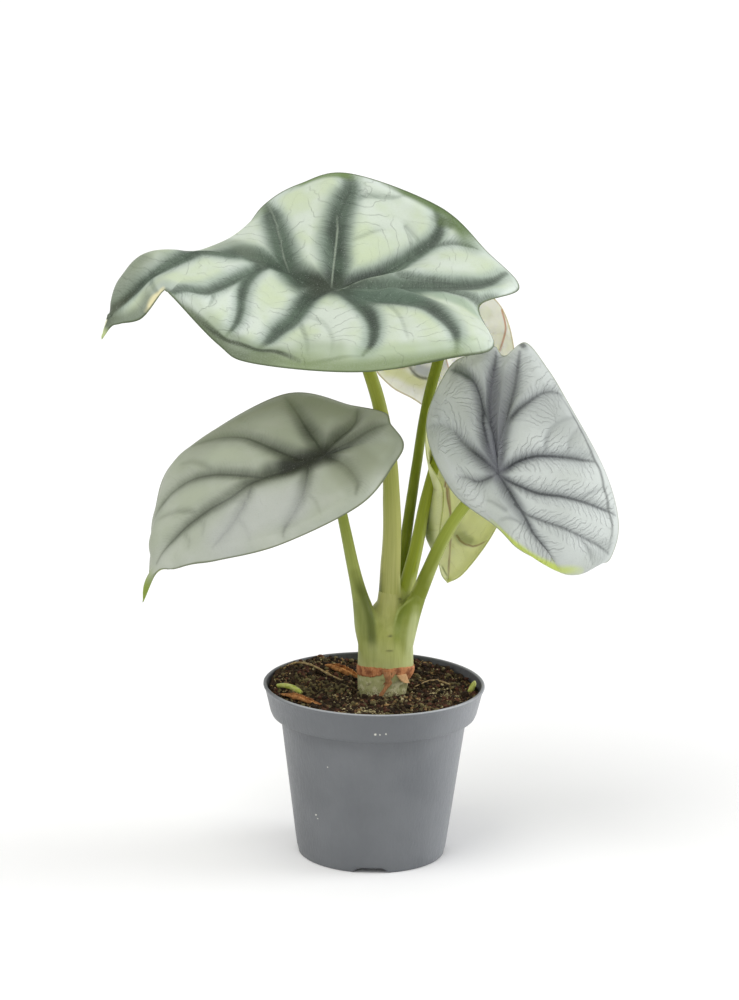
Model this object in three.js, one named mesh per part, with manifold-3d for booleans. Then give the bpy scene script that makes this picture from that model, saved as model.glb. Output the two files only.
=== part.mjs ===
// A silver-leaved alocasia in a round grey nursery pot, in millimetres, +Z up.
// The origin is the middle of the pot's foot, on the surface that the pot stands on. The plant is
// seen from the front along +Y, and +X is to the right.
import * as THREE from "three";
import { mergeVertices } from "three/addons/utils/BufferGeometryUtils.js";
import Module from "manifold-3d";

const wasm = await Module();
wasm.setup();

// ---------------------------------------------------------------- driving dimensions
const seatGap = 0.3; // air left between two pieces that touch

const pot = {
  height: 95,
  wall: 1.2,
  footRadius: 40.3,
  shoulderRadius: 50.6, // body radius right under the rim band
  bandHeight: 17,
  bandRadius: 55.6, // lower edge of the rim band
  rimRadius: 60,
  lipHeight: 1.6,
  lipProud: 0.7,
  floorHeight: 3, // underside of the floor above the surface
  padRadius: 9,
  footWidth: 3.2,
  notchWidth: 20,
  notchHeight: 2.9,
  notchCount: 4,
  notchLength: 14, // how far the arch reaches in from outside the foot
  notchInset: 9,
  drainRadius: 4,
  drainRing: 25,
  drainCount: 6,
  drainSides: 16,
  sides: 48,
};

const soil = {
  level: 90,
  rings: 12,
  sectors: 48,
  footRadius: 6, // innermost ring of the flat underside
  grain: 0.8,
  heap: { at: [-42, 24], height: 3.6, spread: 24 },
  dip: { at: [30, 34], height: -4.6, spread: 24 },
  seed: 7,
};

const blade = {
  thickness: 1,
  stepsPerRib: 2,
  steps: [0, 0.07, 0.2, 0.36, 0.54, 0.72, 0.88, 1], // from the midrib to the edge
  quilt: 0.075, // how far the blade swells between two veins, as a share of the way between them
  quiltLimit: 3,
  veinRidge: 0.9, // how far a vein stands out below the blade, where it starts
  midribRidge: 1.2,
  mergeWithin: 0.002,
};

const stemSides = 28;
// Green stem in the soil: height, middle in x and y, half width and half depth.
const stemSections = [
  [58, 4, -2, 8, 8],
  [64, 4, -2, 11, 11],
  [80, 4.3, -2, 12.6, 12.2],
  [92, 4.5, -2, 13.2, 12.8],
  [98, 5, -2, 14, 13.4],
  [103, 6, -2, 15.2, 14.2],
  [112, 6, -2, 15, 13.8],
  [119, 5.8, -2, 14.9, 13.2],
  [126, 6.2, -1.6, 15.2, 12.6],
  [131, 6.6, -1, 14.4, 11.4],
  [134, 6.8, -0.6, 11, 8.6],
];

// Torn ring of dried leaf base round the stem.
const driedRing = { low: 99.6, high: 106.4, thickness: 1.1, wave: 1.1, sides: 40 };

// Leaf stalks: [x, y, z, radius], from inside the stem up to where the blade is joined.
const stalkRoutes = {
  top: [
    [6, -3, 118, 7.4],
    [6.8, -2.4, 132, 6.6],
    [7.2, -2, 142, 5.8],
    [7.9, -0.6, 166, 5.2],
    [7.9, 0, 190, 4.8],
    [6, 1.4, 217, 4.3],
    [0.6, 3.6, 246, 3.8],
    [-6, 4.6, 267, 3.5],
    [-14, 5, 288, 3.2],
    [-22, 5, 306.6, 3],
  ],
  right: [
    [12, -5, 114, 8],
    [16.6, -5, 132, 6.8],
    [22.6, -4.6, 143, 4.3],
    [33.6, -9, 174, 3.5],
    [44.6, -13, 195, 3.2],
    [54, -17, 206, 3],
    [62.8, -23.8, 214.6, 2.8],
  ],
  left: [
    [1, -6, 112, 8],
    [-4, -6.6, 127, 6.6],
    [-7, -7.6, 140, 4.6],
    [-12, -10.6, 161, 3.3],
    [-19, -15.6, 194, 2.7],
    [-24, -23.6, 215, 2.6],
    [-27.8, -34, 227, 2.6],
  ],
  hanging: [
    [12, 1, 118, 6],
    [15.6, 4, 142, 4.4],
    [21.4, 9, 168, 3.6],
    [26, 14, 193, 3.1],
    [30.6, 18, 212, 2.8],
    [35.6, 20.8, 231.6, 2.6],
  ],
  back: [
    [8, 6, 118, 6],
    [12.6, 13, 148, 3.7],
    [15.6, 19.6, 169, 3],
    [20.6, 32, 205, 2.8],
    [25.6, 42, 238, 2.8],
    [33, 50, 269.6, 3],
  ],
};
const stalkSides = 10;
const stalkSteps = 16;
const litterShape = { fibreSides: 6, fibreSteps: 12, stubSides: 8, stubSteps: 8 };

// Each blade is a fan of ribs on both sides of its midrib. The midrib runs from where the stalk joins
// to the tip. A rib leaves it at `along` (0 at the stalk, 1 at the tip); left and right each hold a
// point half way out and a point on the blade's edge. The cleft lies between the two back lobes.
const topLeaf = {
  midrib: [
    [-23, 5, 309], [-38, 8, 314], [-55, 10, 320], [-75, 10, 325], [-94, 8, 328],
    [-110, 2, 324], [-122, -4, 315], [-130, -9, 307], [-140, -14, 297], [-146, -18, 285],
  ],
  ribs: [
    { along: 0.955, left: [[-142, -17, 292], [-141, -18, 292]], right: [[-144, -16, 289], [-146, -15, 287]] },
    { along: 0.9, left: [[-137, -17, 295], [-136, -19, 294]], right: [[-141, -12, 297], [-143.5, -9, 291]] },
    { along: 0.8, left: [[-127, -16, 302], [-125, -20, 297]], right: [[-134, -3, 313], [-138, 3, 305]] },
    { along: 0.68, left: [[-116, -14, 315], [-114, -26, 312]], right: [[-122, 12, 323], [-119, 24, 306]] },
    { along: 0.46, left: [[-99, -16, 315], [-111, -33, 314]], right: [[-88, 22, 323], [-81, 48, 327]] },
    { along: 0.245, left: [[-81, -18, 312], [-107, -40, 312]], right: [[-53, 34, 332], [-64, 60, 346]] },
    { along: 0.16, left: [[-68, -24, 305], [-83, -52, 290]], right: [[-38, 36, 335], [-45, 64, 357]] },
    { along: 0.09, left: [[-45, -28, 298], [-65, -60, 283]], right: [[-24, 36, 337], [-18, 65, 363]] },
    { along: 0, left: [[-4, -32, 300], [-10, -68, 281]], right: [[10, 38, 318], [31, 62, 346]] },
    { along: 0, left: [[22, -20, 306], [38, -52, 284]], right: [[25, 28, 316], [57, 50, 324]] },
    { along: 0, left: [[23, -10, 305], [59, -28, 287]], right: [[26, 18, 312], [74, 30, 308]] },
  ],
  cleft: [[14, 2, 306], [52, 0, 303]],
};
const leftLeaf = {
  midrib: [
    [-28, -35, 228], [-45, -39, 222], [-62, -42, 217], [-83, -46, 207],
    [-97, -49, 194], [-109, -51, 179], [-117, -52, 166], [-122, -52, 152],
  ],
  ribs: [
    { along: 0.9, left: [[-116, -54, 166], [-114, -56, 170]], right: [[-118, -51, 165], [-119, -50, 165]] },
    { along: 0.76, left: [[-108, -57, 176], [-105, -62, 173]], right: [[-114, -46, 176], [-119, -40, 172]] },
    { along: 0.6, left: [[-96, -60, 186], [-95, -70, 178]], right: [[-111, -40, 188], [-119, -30, 177]] },
    { along: 0.34, left: [[-68, -58, 203], [-81, -76, 182]], right: [[-91, -30, 214], [-118, -20, 193]] },
    { along: 0.12, left: [[-39, -58, 208], [-49, -80, 192]], right: [[-71, -20, 232], [-106, -6, 220]] },
    { along: 0.03, left: [[-15, -50, 222], [-9, -66, 210]], right: [[-38, -16, 239], [-52, 6, 252]] },
    { along: 0, left: [[-11, -42, 229], [8, -46, 227]], right: [[-17, -24, 238], [-14, -4, 249]] },
    { along: 0, left: [[-12, -37, 233], [13, -36, 236]], right: [[-14, -32, 237], [3, -21, 249]] },
  ],
  cleft: [[-13, -36, 236], [6, -29, 245]],
};
const rightLeaf = {
  midrib: [
    [64, -25, 216], [67, -28, 212], [75, -34, 200], [81, -37, 191], [87, -40, 184],
    [95, -41, 176], [100, -34, 170], [103, -22, 171], [102, -12, 174],
  ],
  ribs: [
    { along: 0.93, left: [[103, -17, 171], [105, -16, 171]], right: [[101, -18, 171], [99, -18, 171]] },
    { along: 0.8, left: [[105, -32, 169], [112, -24, 169]], right: [[96, -36, 171], [91, -34, 172]] },
    { along: 0.58, left: [[102, -42, 176], [118, -30, 171]], right: [[81, -40, 181], [75, -38, 180]] },
    { along: 0.33, left: [[100, -40, 192], [124, -30, 175]], right: [[67, -28, 197], [62, -26, 190]] },
    { along: 0.06, left: [[96, -34, 209], [128, -22, 192]], right: [[52, -20, 214], [39, -14, 206]] },
    { along: 0, left: [[87, -28, 229], [120, -14, 219]], right: [[42, -16, 236], [25, -6, 238]] },
    { along: 0, left: [[72, -18, 248], [99, -6, 255]], right: [[53, -14, 248], [36, -2, 269]] },
    { along: 0, left: [[71, -15, 250], [89, 0, 270]], right: [[55, -12, 249], [49, 2, 277]] },
    { along: 0, left: [[68, -13, 250], [77, 4, 283]], right: [[57, -11, 248], [60, 4, 281]] },
  ],
  cleft: [[63, -11, 248], [66, 2, 276]],
};
const backLeaf = {
  midrib: [[34, 52, 272], [39, 58, 254], [45, 66, 235], [50, 76, 219], [54, 86, 207]],
  ribs: [
    { along: 0.88, left: [[50, 80, 213], [48, 78, 215]], right: [[56, 82, 213], [59, 82, 212]] },
    { along: 0.6, left: [[40, 70, 227], [35, 66, 227]], right: [[57, 76, 226], [69, 76, 221]] },
    { along: 0.33, left: [[30, 62, 248], [20, 60, 239]], right: [[59, 70, 247], [75, 70, 240]] },
    { along: 0.08, left: [[21, 60, 258], [6, 54, 248]], right: [[56, 66, 267], [74, 64, 266]] },
    { along: 0, left: [[17, 58, 267], [-4, 50, 262]], right: [[52, 62, 278], [69, 60, 286]] },
    { along: 0, left: [[17, 56, 279], [-1, 48, 283]], right: [[47, 58, 286], [61, 56, 298]] },
    { along: 0, left: [[24, 52, 290], [13, 46, 302]], right: [[40, 54, 290], [47, 50, 307]] },
  ],
  cleft: [[33, 53, 284], [31, 50, 296]],
};
const hangingLeaf = {
  midrib: [[36, 22, 234], [37, 27, 216], [38, 30, 199], [40, 30, 180], [40, 26, 163], [39, 20, 146]],
  ribs: [
    { along: 0.9, left: [[38, 20, 154], [35, 16, 153]], right: [[43, 20, 153], [47, 16, 152]] },
    { along: 0.68, left: [[31, 20, 169], [33, 11, 167]], right: [[50, 24, 167], [58, 14, 167]] },
    { along: 0.4, left: [[28, 20, 181], [34, 8, 179]], right: [[53, 28, 185], [66, 16, 181]] },
    { along: 0.12, left: [[30, 20, 204], [35, 8, 201]], right: [[54, 30, 207], [73, 18, 199]] },
    { along: 0, left: [[29, 17, 226], [26, 8, 219]], right: [[54, 30, 224], [72, 20, 220]] },
    { along: 0, left: [[30, 19, 237], [26, 14, 242]], right: [[49, 26, 237], [62, 20, 240]] },
    { along: 0, left: [[32, 20, 243], [32, 18, 251]], right: [[41, 22, 243], [44, 18, 252]] },
  ],
  cleft: [[37, 21, 240], [37, 20, 247]],
};

// Bits that lie on the soil: [x, y, height above the soil's level, radius].
const litterRoutes = {
  green_shoot_stub: [[-52, -2, 3.4, 1.6], [-47, -4, 3.2, 2.6], [-42, -7, 2.4, 2.8], [-38, -10, 1, 2.2]],
  yellow_shoot_stub: [[51, 6, 0, 2.2], [52, 4, 2.4, 2.4], [53.4, 1, 3.6, 1.4]],
  dried_sheath_front: [[-50, -14, 2, 1.2], [-44, -19, 2.6, 2.2], [-37, -25, 1.8, 2], [-30, -30, 1.4, 1]],
  dried_sheath_back: [[-27, 33, 2.6, 1], [-22, 29, 4.6, 2.4], [-16, 25, 3.4, 2.2], [-11, 22, 1.6, 1]],
  root_fibre_left: [
    [-48, 28, 4.6, 0.7], [-41, 31, 5, 0.7], [-33, 24, 4, 0.7], [-24, 19, 2.4, 0.7], [-17, 17, 1, 0.7],
  ],
  root_fibre_right: [[24, 8, 1.2, 0.7], [30, 14, 0.6, 0.7], [37, 14, -0.2, 0.7], [44, 8, -0.4, 0.7]],
};

const finish = {
  pot: { color: 0x717375, roughness: 0.62, metalness: 0 },
  soil: { color: 0x3c3022, roughness: 0.95, metalness: 0 },
  stem: { color: 0x9da25a, roughness: 0.45, metalness: 0 },
  stalk: { color: 0x8b9550, roughness: 0.42, metalness: 0 },
  silverLeaf: { color: 0xaab5a2, roughness: 0.5, metalness: 0 },
  greyLeaf: { color: 0xa6adab, roughness: 0.5, metalness: 0 },
  paleLeaf: { color: 0xb9bf95, roughness: 0.5, metalness: 0 },
  dried: { color: 0x9a6236, roughness: 0.8, metalness: 0 },
  greenShoot: { color: 0xa3b04a, roughness: 0.5, metalness: 0 },
  root: { color: 0xa08a5c, roughness: 0.85, metalness: 0 },
};

// ---------------------------------------------------------------- small helpers
const vec = ([x, y, z]) => new THREE.Vector3(x, y, z);
const smoothCurve = (points) => new THREE.CatmullRomCurve3(points.map(vec), false, "catmullrom", 0.5);

// Numbers between 0 and 1 that come out the same each time.
function seededDraws(seed) {
  let state = seed;
  return () => {
    state = (Math.imul(state, 1664525) + 1013904223) >>> 0;
    return state / 4294967296;
  };
}

function geometryFrom(points, triangles) {
  const geometry = new THREE.BufferGeometry();
  const coordinates = points.flatMap((p) => [p.x, p.y, p.z]);
  geometry.setAttribute("position", new THREE.Float32BufferAttribute(coordinates, 3));
  geometry.setIndex(triangles);
  return geometry;
}

// Merges the vertices that lie together and drops the triangles that this closes up.
function weld(geometry) {
  geometry.deleteAttribute("normal");
  geometry.deleteAttribute("uv");
  const merged = mergeVertices(geometry, 1e-3);
  const kept = [];
  const index = merged.index.array;
  for (let i = 0; i < index.length; i += 3) {
    const [a, b, c] = [index[i], index[i + 1], index[i + 2]];
    if (a !== b && b !== c && c !== a) {
      kept.push(a, b, c);
    }
  }
  merged.setIndex(kept);
  return merged;
}

function solidFrom(geometry) {
  const merged = weld(geometry);
  const mesh = new wasm.Mesh({
    numProp: 3,
    vertProperties: new Float32Array(merged.attributes.position.array),
    triVerts: new Uint32Array(merged.index.array),
  });
  return new wasm.Manifold(mesh);
}

// The largest body of a solid, so that no loose scrap of a cut is kept.
function mainBody(solid) {
  const bodies = solid.decompose();
  return bodies.reduce((best, body) => (body.volume() > best.volume() ? body : best));
}

function geometryOf(solid) {
  const mesh = mainBody(solid).getMesh();
  const geometry = new THREE.BufferGeometry();
  geometry.setAttribute("position", new THREE.BufferAttribute(new Float32Array(mesh.vertProperties), 3));
  geometry.setIndex([...mesh.triVerts]);
  geometry.computeVertexNormals();
  return geometry;
}

const plant = new THREE.Group();

function addPiece(name, solid, look) {
  const mesh = new THREE.Mesh(geometryOf(solid), new THREE.MeshStandardMaterial(look));
  mesh.name = name;
  plant.add(mesh);
}

// A closed body through rings of points; each ring holds the same number of points, counter-clockwise
// as seen from the last ring.
function loft(rings) {
  const sides = rings[0].length;
  const points = rings.flat();
  const triangles = [];
  for (let ring = 0; ring < rings.length - 1; ring += 1) {
    for (let side = 0; side < sides; side += 1) {
      const here = ring * sides + side;
      const next = ring * sides + ((side + 1) % sides);
      triangles.push(here, next, next + sides, here, next + sides, here + sides);
    }
  }
  const middle = (ring) => ring.reduce((sum, p) => sum.add(p), new THREE.Vector3()).divideScalar(sides);
  const first = points.push(middle(rings[0])) - 1;
  const last = points.push(middle(rings.at(-1))) - 1;
  const top = (rings.length - 1) * sides;
  for (let side = 0; side < sides; side += 1) {
    const next = (side + 1) % sides;
    triangles.push(first, next, side, last, top + side, top + next);
  }
  return geometryFrom(points, triangles);
}

// A round rod along a route of [x, y, z, radius]; grow makes it thicker all round.
function rod(route, sides, steps, grow = 0) {
  const path = smoothCurve(route);
  const radii = smoothCurve(route.map((p) => [p[3], 0, 0]));
  const frames = path.computeFrenetFrames(steps, false);
  const rings = [];
  for (let step = 0; step <= steps; step += 1) {
    const share = step / steps;
    const centre = path.getPointAt(share);
    const radius = radii.getPoint(path.getUtoTmapping(share)).x + grow;
    const ring = [];
    for (let side = 0; side < sides; side += 1) {
      const angle = (2 * Math.PI * side) / sides;
      const across = frames.normals[step].clone().multiplyScalar(Math.cos(angle) * radius);
      const up = frames.binormals[step].clone().multiplyScalar(Math.sin(angle) * radius);
      ring.push(centre.clone().add(across).add(up));
    }
    rings.push(ring);
  }
  return solidFrom(loft(rings));
}

// ---------------------------------------------------------------- pot
function potOuterRadius(height) {
  const bandLow = pot.height - pot.bandHeight;
  if (height < bandLow) {
    return THREE.MathUtils.mapLinear(height, 0, bandLow, pot.footRadius, pot.shoulderRadius);
  }
  return THREE.MathUtils.mapLinear(height, bandLow, pot.height, pot.bandRadius, pot.rimRadius - pot.lipProud);
}

const bandFloor = pot.height - pot.bandHeight;

function potInnerProfile(inset) {
  const gap = pot.wall + inset;
  return [
    [potOuterRadius(pot.floorHeight) - gap - 1, pot.floorHeight + gap],
    [potOuterRadius(pot.floorHeight + 3) - gap, pot.floorHeight + gap + 1.6],
    [pot.shoulderRadius - gap, bandFloor + gap],
    [pot.bandRadius - gap - 0.2, bandFloor + gap + 0.8],
    [potOuterRadius(pot.height - 1) - gap, pot.height - 0.6],
  ];
}

function lathe(profile, sides) {
  const geometry = new THREE.LatheGeometry(profile.map(([r, z]) => new THREE.Vector2(r, z)), sides);
  geometry.rotateX(Math.PI / 2);
  return solidFrom(geometry);
}

function potBody() {
  const inner = potInnerProfile(0).reverse();
  const profile = [
    [0, 0],
    [pot.padRadius, 0],
    [pot.padRadius + 0.8, 2.4],
    [pot.padRadius + 2.4, pot.floorHeight],
    [pot.footRadius - pot.footWidth - 1.4, pot.floorHeight],
    [pot.footRadius - pot.footWidth, 0.4],
    [pot.footRadius - pot.footWidth + 0.5, 0],
    [pot.footRadius - 0.9, 0],
    [pot.footRadius, 0.9],
    [pot.shoulderRadius - 0.1, bandFloor - 1.2],
    [pot.shoulderRadius + 0.7, bandFloor - 0.2],
    [pot.bandRadius - 0.9, bandFloor],
    [pot.bandRadius, bandFloor + 0.9],
    [potOuterRadius(pot.height - pot.lipHeight), pot.height - pot.lipHeight - 0.5],
    [pot.rimRadius - 0.1, pot.height - pot.lipHeight],
    [pot.rimRadius, pot.height - 0.6],
    [pot.rimRadius - 0.6, pot.height],
    [pot.rimRadius - pot.lipProud - pot.wall + 0.3, pot.height],
    ...inner,
    [0, pot.floorHeight + pot.wall],
  ];
  return lathe(profile, pot.sides);
}

// An arch cut through the foot, pointing out along `angle`.
function footNotch(angle) {
  const half = pot.notchWidth / 2;
  const arch = new THREE.Shape();
  arch.moveTo(-half, -1);
  arch.lineTo(half, -1);
  arch.lineTo(half, 0);
  arch.quadraticCurveTo(half * 0.85, pot.notchHeight, half * 0.5, pot.notchHeight);
  arch.lineTo(-half * 0.5, pot.notchHeight);
  arch.quadraticCurveTo(-half * 0.85, pot.notchHeight, -half, 0);
  const along = { depth: pot.notchLength, bevelEnabled: false, curveSegments: 5 };
  const geometry = new THREE.ExtrudeGeometry(arch, along);
  geometry.rotateX(Math.PI / 2);
  geometry.translate(0, pot.notchInset - pot.footRadius, 0);
  geometry.rotateZ(angle);
  return solidFrom(geometry);
}

function drainHole(angle) {
  const geometry = new THREE.CylinderGeometry(pot.drainRadius, pot.drainRadius, 4 * pot.wall, pot.drainSides);
  geometry.rotateX(Math.PI / 2);
  geometry.translate(Math.cos(angle) * pot.drainRing, Math.sin(angle) * pot.drainRing, pot.floorHeight + 0.6);
  return solidFrom(geometry);
}

function makePot() {
  let body = potBody();
  for (let i = 0; i < pot.notchCount; i += 1) {
    body = body.subtract(footNotch((2 * Math.PI * i) / pot.notchCount));
  }
  for (let i = 0; i < pot.drainCount; i += 1) {
    body = body.subtract(drainHole((2 * Math.PI * (i + 0.5)) / pot.drainCount));
  }
  return body;
}

// ---------------------------------------------------------------- soil
function soilHeight(x, y) {
  const swell = ({ at, height, spread }) => {
    const away = Math.hypot(x - at[0], y - at[1]);
    return height * Math.exp(-((away / spread) ** 2));
  };
  return soil.level + swell(soil.heap) + swell(soil.dip);
}

function makeSoil() {
  const draw = seededDraws(soil.seed);
  const side = potInnerProfile(seatGap);
  const [lowR, lowZ] = side[3];
  const [highR, highZ] = side[4];
  const wallRadius = (z) => THREE.MathUtils.mapLinear(z, lowZ, highZ, lowR, highR);
  const circle = (radius, heightAt) => {
    const ring = [];
    for (let sector = 0; sector < soil.sectors; sector += 1) {
      const angle = (2 * Math.PI * sector) / soil.sectors;
      const [x, y] = [Math.cos(angle) * radius, Math.sin(angle) * radius];
      ring.push(new THREE.Vector3(x, y, heightAt(x, y)));
    }
    return ring;
  };
  const rings = side.slice(0, 4).map(([radius, z]) => circle(radius, () => z));
  rings.unshift(circle(soil.footRadius, () => side[0][1]));
  const edge = circle(wallRadius(soil.level), soilHeight);
  edge.forEach((p) => {
    const scale = wallRadius(p.z) / Math.hypot(p.x, p.y);
    p.x *= scale;
    p.y *= scale;
  });
  rings.push(edge);
  for (let ring = soil.rings - 1; ring > 0; ring -= 1) {
    const radius = (wallRadius(soil.level) * ring) / soil.rings;
    rings.push(circle(radius, (x, y) => soilHeight(x, y) + (draw() - 0.5) * 2 * soil.grain));
  }
  return solidFrom(loft(rings));
}

// ---------------------------------------------------------------- stem, ring and stalks
function makeStem(grow = 0) {
  const rings = stemSections.map(([z, x, y, halfWidth, halfDepth], i) => {
    const ring = [];
    const end = i === 0 ? -grow : i === stemSections.length - 1 ? grow : 0;
    for (let side = 0; side < stemSides; side += 1) {
      const angle = (2 * Math.PI * side) / stemSides;
      const px = x + Math.cos(angle) * (halfWidth + grow);
      const py = y + Math.sin(angle) * (halfDepth + grow);
      ring.push(new THREE.Vector3(px, py, z + end));
    }
    return ring;
  });
  return solidFrom(loft(rings));
}

function stemSectionAt(height) {
  const heights = stemSections.map((s) => s[0]);
  const above = Math.max(1, heights.findIndex((z) => z >= height));
  const [low, high] = [stemSections[above - 1], stemSections[above]];
  const share = (height - low[0]) / (high[0] - low[0]);
  return low.map((value, i) => THREE.MathUtils.lerp(value, high[i], share));
}

// The dried ring is cut from a sleeve round the stem, wavy along both edges.
function makeDriedRing() {
  const rings = [];
  const draw = seededDraws(soil.seed + 4);
  const edges = Array.from({ length: driedRing.sides }, () => [draw(), draw()]);
  const outline = (angle, i, share, out) => {
    const lowEdge = driedRing.low + (edges[i][0] - 0.5) * 2 * driedRing.wave;
    const highEdge = driedRing.high + (edges[i][1] - 0.5) * driedRing.wave;
    const z = THREE.MathUtils.lerp(lowEdge, highEdge, share);
    const [, x, y, halfWidth, halfDepth] = stemSectionAt(z);
    const px = x + Math.cos(angle) * (halfWidth + out);
    const py = y + Math.sin(angle) * (halfDepth + out);
    return new THREE.Vector3(px, py, z);
  };
  for (let i = 0; i <= driedRing.sides; i += 1) {
    const side = i % driedRing.sides;
    const angle = (2 * Math.PI * side) / driedRing.sides;
    const outer = driedRing.thickness;
    rings.push([
      outline(angle, side, 0, -1),
      outline(angle, side, 1, -1),
      outline(angle, side, 1, outer * 0.5),
      outline(angle, side, 0.5, outer),
      outline(angle, side, 0, outer * 0.6),
    ]);
  }
  const sides = rings[0].length;
  const points = rings.flat();
  const triangles = [];
  for (let ring = 0; ring < driedRing.sides; ring += 1) {
    for (let side = 0; side < sides; side += 1) {
      const here = ring * sides + side;
      const next = ring * sides + ((side + 1) % sides);
      triangles.push(here, next, next + sides, here, next + sides, here + sides);
    }
  }
  const sleeve = solidFrom(geometryFrom(points, triangles));
  return sleeve.subtract(makeStem(seatGap));
}

const makeStalk = (route, grow = 0) => rod(route, stalkSides, stalkSteps, grow);

// ---------------------------------------------------------------- blades
function bladeForm(leaf) {
  const midrib = smoothCurve(leaf.midrib);
  const tip = leaf.midrib.at(-1);
  const start = [{ along: 1, bend: tip, edge: tip }];
  const side = (name) =>
    leaf.ribs.map((rib) => ({ along: rib.along, bend: rib[name][0], edge: rib[name][1] }));
  const cleft = { along: 0, bend: leaf.cleft[0], edge: leaf.cleft[1] };
  const ribs = [...start, ...side("left"), cleft, ...side("right").reverse(), ...start];
  const bends = smoothCurve(ribs.map((rib) => rib.bend));
  const edges = smoothCurve(ribs.map((rib) => rib.edge));
  const count = ribs.length - 1;

  // The point of the blade at rib number u, a share t of the way from the midrib to the edge.
  const point = (u, t) => {
    const low = Math.min(Math.floor(u), count - 1);
    const along = THREE.MathUtils.lerp(ribs[low].along, ribs[low + 1].along, u - low);
    const out = midrib.getPointAt(along).multiplyScalar((1 - t) * (1 - 2 * t));
    out.addScaledVector(bends.getPoint(u / count), 4 * t * (1 - t));
    return out.addScaledVector(edges.getPoint(u / count), t * (2 * t - 1));
  };
  return { point, count };
}

const nearCleftOrTip = (u, count) => Math.min(u, count - u) < 1.5 || Math.abs(u - count / 2) < 0.5;

// How far the blade swells up between the two veins on either side of u.
function quiltHeight(form, u, t) {
  if (nearCleftOrTip(u, form.count)) {
    return 0;
  }
  const before = Math.floor(u);
  const between = u - before;
  const span = form.point(before, t).distanceTo(form.point(Math.min(before + 1, form.count), t));
  const height = Math.min(blade.quiltLimit, blade.quilt * span);
  return height * 4 * between * (1 - between) * Math.sin(Math.PI * t);
}

// How far the midrib and the veins stand out below the blade.
function ridgeDepth(form, u, t) {
  if (t === 0) {
    return blade.midribRidge;
  }
  const onVein = Math.abs(u - Math.round(u)) < 0.01 && !nearCleftOrTip(u, form.count);
  return onVein ? blade.veinRidge * (1 - t) : 0;
}

function displaced(geometry, offsetOf) {
  const copy = geometry.clone();
  copy.computeVertexNormals();
  const { position, normal } = copy.attributes;
  const moved = [];
  for (let i = 0; i < position.count; i += 1) {
    const at = new THREE.Vector3().fromBufferAttribute(position, i);
    const up = new THREE.Vector3().fromBufferAttribute(normal, i);
    moved.push(at.addScaledVector(up, offsetOf(i)));
  }
  return geometryFrom(moved, [...copy.index.array]);
}

// The middle surface of a blade as merged points, each with its place [u, t], its triangles, and the
// numbers of the points along its edge.
function middleSurface(form) {
  const rows = form.count * blade.stepsPerRib;
  const columns = blade.steps.length;
  const points = [];
  const places = [];
  const numbers = new Map();
  const numberOf = (u, t) => {
    const at = form.point(u, t);
    const key = [at.x, at.y, at.z].map((v) => Math.round(v / blade.mergeWithin)).join(" ");
    if (!numbers.has(key)) {
      numbers.set(key, points.push(at) - 1);
      places.push([u, t]);
    }
    return numbers.get(key);
  };
  const grid = Array.from({ length: rows + 1 }, (_, row) =>
    blade.steps.map((t) => numberOf(row / blade.stepsPerRib, t)));
  const triangles = [];
  for (let row = 0; row < rows; row += 1) {
    for (let column = 0; column < columns - 1; column += 1) {
      const [a, b] = [grid[row][column], grid[row][column + 1]];
      const [d, c] = [grid[row + 1][column], grid[row + 1][column + 1]];
      triangles.push(...[[a, b, c], [a, c, d]].filter((face) => new Set(face).size === 3).flat());
    }
  }
  return { points, places, triangles, edge: grid.map((row) => row[columns - 1]) };
}

// One closed blade: its middle surface is moved up and down by half its thickness, with the same
// triangles on both faces, and the two faces are joined round the edge.
function makeBlade(leaf, grow = 0) {
  const form = bladeForm(leaf);
  const { points, places, triangles, edge } = middleSurface(form);
  const quilted = displaced(geometryFrom(points, triangles), (i) => quiltHeight(form, ...places[i]));
  const half = blade.thickness / 2 + grow;
  const upper = displaced(quilted, () => half);
  const lower = displaced(quilted, (i) => -half - ridgeDepth(form, ...places[i]));
  const below = points.length;
  const faces = [...triangles];
  for (let i = 0; i < triangles.length; i += 3) {
    const [a, b, c] = triangles.slice(i, i + 3);
    faces.push(a + below, c + below, b + below);
  }
  for (let i = 0; i < edge.length - 1; i += 1) {
    const [a, b] = [edge[i], edge[i + 1]];
    if (a !== b) {
      faces.push(a, a + below, b + below, a, b + below, b);
    }
  }
  const both = [...upper.attributes.position.array, ...lower.attributes.position.array];
  const closed = new THREE.BufferGeometry();
  closed.setAttribute("position", new THREE.Float32BufferAttribute(both, 3));
  closed.setIndex(faces);
  return solidFrom(closed);
}

// ---------------------------------------------------------------- assembly
function makeLitter(name, grow = 0) {
  const route = litterRoutes[name].map(([x, y, z, radius]) => [x, y, soil.level + z, radius]);
  const { fibreSides, fibreSteps, stubSides, stubSteps } = litterShape;
  const isFibre = name.startsWith("root");
  return isFibre ? rod(route, fibreSides, fibreSteps, grow) : rod(route, stubSides, stubSteps, grow);
}

const stemSolid = makeStem();
const stemSpace = makeStem(seatGap);
const leaves = {
  top: { form: topLeaf, look: finish.silverLeaf },
  left: { form: leftLeaf, look: finish.silverLeaf },
  right: { form: rightLeaf, look: finish.greyLeaf },
  hanging: { form: hangingLeaf, look: finish.paleLeaf },
  back: { form: backLeaf, look: finish.paleLeaf },
};

addPiece("pot", makePot(), finish.pot);

let soilSolid = makeSoil().subtract(stemSpace);
for (const name of Object.keys(litterRoutes)) {
  soilSolid = soilSolid.subtract(makeLitter(name, seatGap));
}
addPiece("soil", soilSolid, finish.soil);
addPiece("stem", stemSolid, finish.stem);
addPiece("dried_ring", makeDriedRing(), finish.dried);

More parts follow.
